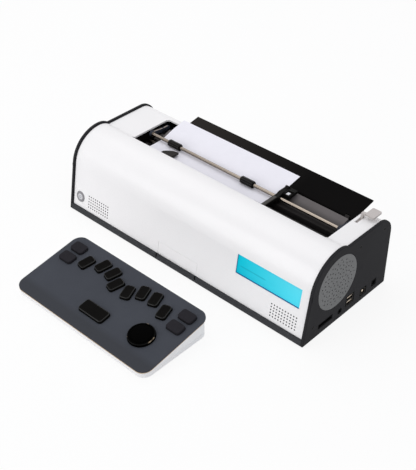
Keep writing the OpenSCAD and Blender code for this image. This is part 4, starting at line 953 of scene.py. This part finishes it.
def anvilBar():
    # a dome-topped bar under the sheet
    low, top, steps = anvil["low"], anvil["top"], anvil["steps"]
    middle, half = (anvil["front"] + anvil["rear"]) / 2, (anvil["rear"] - anvil["front"]) / 2
    section = [(-half, low)]
    for i in range(steps + 1):
        turn = math.pi * (1 - i / steps)
        section.append((half * math.cos(turn), top - anvil["crown"] * (1 - math.sin(turn))))
    section.append((half, low))
    core, share = (low + top) / 2, anvil["endShare"]
    ends = ((anvil["left"], share), (anvil["left"] + anvil["chamfer"], 1.0),
            (anvil["right"] - anvil["chamfer"], 1.0), (anvil["right"], share))
    rings = [[spot(x, middle + y * shrink, max(low, core + (z - core) * shrink)) for y, z in section]
             for x, shrink in ends]
    built("anvilBar", [rings], "anvilBlack", "machine", 35, ["anvil_bar"])


anvilBar()
print("anvil laid")


sockets = {"face": 212.7, "sheet": 0.35, "gap": 0.02, "proud": 0.12, "deep": 4.0, "corner": 0.5,
           "tongueEnd": ((-2.0, 0.06), (-0.9, 0.06), (-0.75, -0.15)),        # depth from the face, outset
           # place of each row, size of the mouth, size of the tongue and its rise
           "kinds": ((92.48, (14.8, 21.8), (13.1, 5.6), (11.0, 1.8), 0.7),
                     (121.04, (14.0,), (8.6, 7.9), (2.6, 3.2), 0.0))}


def frameRing(size, x, y, z, out):
    outline = ringOutline(size[0] + 2 * out, size[1] + 2 * out, sockets["corner"], cornerSteps["fine"])
    return [spot(x, y + p.x, z + p.y) for p in outline]


def socketLiners():
    # folded steel round each mouth, and pale faces on the contact tongues
    liner, tongues = bmesh.new(), bmesh.new()
    face, inner, outer = sockets["face"], -sockets["sheet"], -sockets["gap"]
    deep, proud = face - sockets["deep"], face + sockets["proud"]
    walls = ((deep, inner), (deep, outer), (proud, outer), (proud, inner))
    ends = [(face + along, out) for along, out in sockets["tongueEnd"]]
    for y, rows, mouth, tongue, rise in sockets["kinds"]:
        for z in rows:
            closeTube(liner, loft(liner, [frameRing(mouth, x, y, z, out) for x, out in walls]))
            made = loft(tongues, [frameRing(tongue, x, y, z + rise, out) for x, out in ends])
            capFan(tongues, made[-1], spot(ends[-1][0], y, z + rise))
            capFan(tongues, made[0], spot(ends[0][0], y, z + rise))
    settle("socketLiners", toMesh(liner), "linerSteel", "machine", 30)
    settle("socketTongues", toMesh(tongues), "portSteel", "machine", 30)


socketLiners()
print("sockets lined")


base = {"width": 238.0, "run": 112.814, "corner": 14.0, "inset": 1.5, "wall": 2.5,
        "floor": -1.0, "foot": 0.7, "footSteps": 4, "seam": 5.0, "seamDepth": 0.35, "seamWidth": 0.5,
        "seamEdge": 0.1, "plateGap": 2.02, "shadeGap": 2.03, "shadeIn": 0.12, "shadeBehind": 0.03,
        "shadeDrop": 0.9}


def baseRing(inset, level):
    # level is a height in the machine's millimetres, or a function of the place on the plan
    middleY = board["front"] + base["run"] / 2
    ring = []
    wide, deep = base["width"] - 2 * inset, base["run"] - 2 * inset
    for p in ringOutline(wide, deep, base["corner"] - inset, cornerSteps["base"]):
        y = middleY + p.y
        ring.append(spot(board["x"] + p.x, y, level(y) if callable(level) else level))
    return ring


def underPlate(drop):
    slope = math.tan(math.radians(board["tilt"]))
    thick = drop / math.cos(math.radians(board["tilt"]))
    return lambda y: board["z"] + (y - board["front"]) * slope - thick


def keyboardBase():
    inset, floor, seam, foot = base["inset"], base["floor"], base["seam"], base["foot"]
    groove, edge, wall = inset + base["seamDepth"], base["seamEdge"], inset + base["wall"]
    levels = []
    for i in range(base["footSteps"] + 1):
        turn = math.radians(90 * i / base["footSteps"])
        levels.append((inset + foot * (1 - math.sin(turn)), floor + foot * (1 - math.cos(turn))))
    seamTop, plate = seam + base["seamWidth"], underPlate(base["plateGap"])
    levels += [(inset, seam), (groove, seam + edge), (groove, seamTop - edge), (inset, seamTop),
               (inset, plate), (wall, plate), (wall, floor + base["wall"])]
    rings = [baseRing(*level) for level in levels]
    built("keyboardBase", [rings], "whiteBase", "keyboard", 40, ["kb_base"])
    # beige strip in the gap between plate and base: painted shade of the gap
    outer, behind = base["shadeIn"], inset - base["shadeBehind"]
    top, low = underPlate(base["shadeGap"]), underPlate(base["shadeGap"] + base["shadeDrop"])
    rings = [baseRing(*corner) for corner in ((outer, top), (outer, low), (behind, low), (behind, top))]
    built("plateGapShade", [rings], "gapShadeBeige", "keyboard", 30, close=closeTube)


keyboardBase()
print("keyboard base made")


deck = {"rod": (107.0, 101.95), "rodRadius": 2.4, "armLeft": -150.5, "armRight": 176.5, "armThick": 3.5,
        "pivot": (128.0, 98.95), "tail": 9.0, "armHalf": 2.8, "steps": 32, "capLeft": 0.5, "capRight": 0.45,
        "ringIn": 0.8, "cap": ((-0.3, 0.02), (0.0, 0.02), (0.25, -0.3), (0.4, -1.2)),
        "ring": ((-0.4, 0.02), (-0.4, 0.9), (-0.2, 1.1), (0.2, 1.1), (0.4, 0.9), (0.4, 0.02))}
armHighlightSizes = {"inset": 2.2, "section": ((-0.9, -0.3), (0.9, -0.3), (0.9, 0.084), (0.63, 0.14), (-0.63, 0.14),
                                  (-0.9, 0.084))}
shutter = {"y": 137.0, "z": 80.0, "inner": 22.2, "outer": 23.0, "left": 184.5, "right": 189.5, "from": -27.0,
           "to": 46.0, "steps": 24}


def rodEnds():
    # domed caps and snap rings where the rod leaves the arms
    shell = bmesh.new()
    radius, steps = deck["rodRadius"], deck["steps"]
    left, right = deck["armLeft"], deck["armRight"] + deck["armThick"]
    for x, side in ((left - deck["capLeft"], -1), (right + deck["capRight"], 1)):
        cap = [(side * along, radius + out) for along, out in deck["cap"]]
        turnedSolid(shell, cap, x, *deck["rod"], steps)
    for x in (left + deck["armThick"] + deck["ringIn"], deck["armRight"] - deck["ringIn"]):
        ring = [(along, radius + out) for along, out in deck["ring"]]
        closeTube(shell, turned(shell, ring, x, *deck["rod"], steps))
    settle("rodEnds", toMesh(shell), "rodSteel", "rod", 30)


def paintedArmHighlight():
    # pale strip along the top of the left arm: a painted highlight
    start, end = Vector(deck["rod"]), Vector(deck["pivot"])
    along = (end - start).normalized()
    up = Vector((-along.y, along.x)) * deck["armHalf"]
    tail = end + Vector((deck["tail"], deck["armHalf"]))
    middle = deck["armLeft"] + deck["armThick"] / 2
    rings = [[spot(middle + x, p.x, p.y + z) for x, z in armHighlightSizes["section"]]
             for p in (start + along * armHighlightSizes["inset"] + up, end + up, tail)]
    built("paintedArmHighlight", [rings], "paintedArmHighlight", "bail", 30)


def slotShutter():
    # curved plate on the lever that closes its slot in the deck from below
    left, right, steps = shutter["left"], shutter["right"], shutter["steps"]
    rings = []
    for i in range(steps + 1):
        turn = math.radians(shutter["from"] + (shutter["to"] - shutter["from"]) * i / steps)
        inner, outer = [(shutter["y"] + r * math.sin(turn), shutter["z"] + r * math.cos(turn))
                        for r in (shutter["inner"], shutter["outer"])]
        rings.append([spot(left, *inner), spot(left, *outer), spot(right, *outer), spot(right, *inner)])
    built("slotShutter", [rings], "leverGrey", "lever", 30)


rodEnds()
paintedArmHighlight()
slotShutter()
print("rod, arm and lever trimmed")


guide = {"x": 77.2, "knob": ((0.6, 0.4), (0.6, 2.2), (1.0, 2.7), (5.6, 2.7), (6.0, 2.2), (6.0, 0.4)),
         "knobAt": (125.2, 108.25), "knobSteps": 36, "knee": 0.3, "corner": 1.4,
         # low corner, high corner and edge of each block, with X from the guide's side
         "bar": (((0.8, 76.0, 106.35), (5.8, 101.5, 107.1), 0.4),
                 ((-13.5, 75.8, 103.55), (1.5, 79.2, 104.4), 0.25)),
         "label": (((10.2, 113.4, 107.35), (14.8, 118.6, 107.9), 0.3),),
         "clip": (((7.6, 120.5, 107.35), (16.7, 122.6, 109.35), 0.3),
                  ((7.6, 113.6, 107.35), (9.6, 121.5, 108.95), 0.3))}


def softBlocks(shell, blocks):
    # boxes with a chamfered top
    for low, high, edge in blocks:
        width, length = high[0] - low[0], high[1] - low[1]
        x, y = guide["x"] + (low[0] + high[0]) / 2, (low[1] + high[1]) / 2
        rings = []
        knee, corner = edge * guide["knee"], edge * guide["corner"]
        for inset, drop in ((0.0, high[2] - low[2]), (0.0, edge), (knee, knee), (edge, 0.0)):
            wide, long = width - 2 * inset, length - 2 * inset
            outline = ringOutline(wide, long, max(0.1, corner - inset), cornerSteps["block"])
            rings.append([spot(x + p.x, y + p.y, high[2] - drop) for p in outline])
        capEnds(shell, loft(shell, rings))


def guideTrim():
    for name, key, finish, slotName in (("guideBar", "bar", "guideTop", "black_plastic"),
                                        ("guideLabel", "label", "labelWhite", "white_shell"),
                                        ("guideClip", "clip", "guideBlack", "black_plastic")):
        shell = bmesh.new()
        if key == "clip":        # thumb knob over the bar's rear end, beside the spring clip
            turnedSolid(shell, guide["knob"], guide["x"], *guide["knobAt"], guide["knobSteps"])
        softBlocks(shell, guide[key])
        settle(name, toMesh(shell), finish, "guide", 30)


guideTrim()
print("guide trimmed")


view = {"place": (0.7026, -0.69434, 0.81164), "azimuth": 42.98, "elevation": 37.28, "lens": 73.94,
        "sensor": 36, "clip": (0.05, 50)}
lamps = {
    "overhead": {"place": (-0.45, 0.25, 1.4), "aim": (0, 0, 0.05), "size": 1.4, "power": 4.6},
    "frontSoft": {"place": (-0.7, -1.6, 0.8), "aim": (0, 0, 0.05), "size": 1.4, "power": 8.5},
    "rightSoft": {"place": (1.5, -0.7, 0.9), "aim": (0.1, 0, 0.05), "size": 1.0, "power": 0.4},
}
studio = {"soft": 0.73, "softColour": (0.97, 0.97, 1.0, 1), "white": 1.0, "whiteColour": (1, 1, 1, 1),
          "floor": (0.93, 0.93, 0.93, 1), "floorGlow": 0.88, "floorRadius": 4.0, "floorSides": 64,
          "floorZ": -0.0002}


def seenRays(tree):
    # 1 for rays that show the background: camera, mirror and glass rays
    path = tree.nodes.new("ShaderNodeLightPath")
    anyOf = path.outputs["Is Camera Ray"]
    for ray in ("Is Glossy Ray", "Is Transmission Ray"):
        anyOf = maths(tree, "MAXIMUM", anyOf, path.outputs[ray])
    return anyOf


def placeCamera():
    a, e = math.radians(view["azimuth"]), math.radians(view["elevation"])
    back = Vector((math.sin(a) * math.cos(e), -math.cos(a) * math.cos(e), math.sin(e)))
    data = bpy.data.cameras.new("camera")
    data.sensor_width, data.lens = view["sensor"], view["lens"]
    data.clip_start, data.clip_end = view["clip"]
    camera = bpy.data.objects.new("camera", data)
    camera.location = view["place"]
    camera.rotation_euler = (-back).to_track_quat("-Z", "Y").to_euler()
    scene.collection.objects.link(camera)
    scene.camera = camera


def hangLamps():
    for name, lamp in lamps.items():
        light = bpy.data.lights.new(name, "AREA")
        light.shape = "DISK"
        light.size, light.energy = lamp["size"], lamp["power"]
        holder = bpy.data.objects.new(name, light)
        holder.location = lamp["place"]
        toward = Vector(lamp["aim"]) - Vector(lamp["place"])
        holder.rotation_euler = toward.to_track_quat("-Z", "Y").to_euler()
        scene.collection.objects.link(holder)


def blended(tree, share, first, second, out):
    mix = added(tree, "ShaderNodeMixShader", {0: share, 1: first.outputs[0], 2: second.outputs[0]})
    feed(tree, out, {"Surface": mix.outputs[0]})


def paintWorld():
    world = bpy.data.worlds.new("studio")
    scene.world = world
    world.use_nodes = True
    tree = world.node_tree
    tree.nodes.clear()
    out = tree.nodes.new("ShaderNodeOutputWorld")
    skies = [added(tree, "ShaderNodeBackground", {"Color": studio[key + "Colour"], "Strength": studio[key]})
             for key in ("soft", "white")]
    blended(tree, seenRays(tree), *skies, out)


def layFloor():
    shell = bmesh.new()
    sides, radius = studio["floorSides"], studio["floorRadius"]
    bmesh.ops.create_circle(shell, cap_ends=True, segments=sides, radius=radius)
    mesh = bpy.data.meshes.new("floor")
    shell.to_mesh(mesh)
    shell.free()
    floor = bpy.data.objects.new("floor", mesh)
    floor.location = (0, 0, studio["floorZ"])
    scene.collection.objects.link(floor)
    mat, tree, shader, _ = startFinish("paleFloor")
    feed(tree, shader, {"Base Color": studio["floor"], "Roughness": 0.9, "Specular IOR Level": 0.1})
    # seen floor is mostly plain white, with a share of its shaded surface for the shadow
    share = maths(tree, "MULTIPLY", seenRays(tree), studio["floorGlow"])
    blended(tree, share, shader, tree.nodes.new("ShaderNodeEmission"), tree.nodes["Material Output"])
    mesh.materials.append(mat)


placeCamera()
hangLamps()
paintWorld()
layFloor()
print("studio lit")
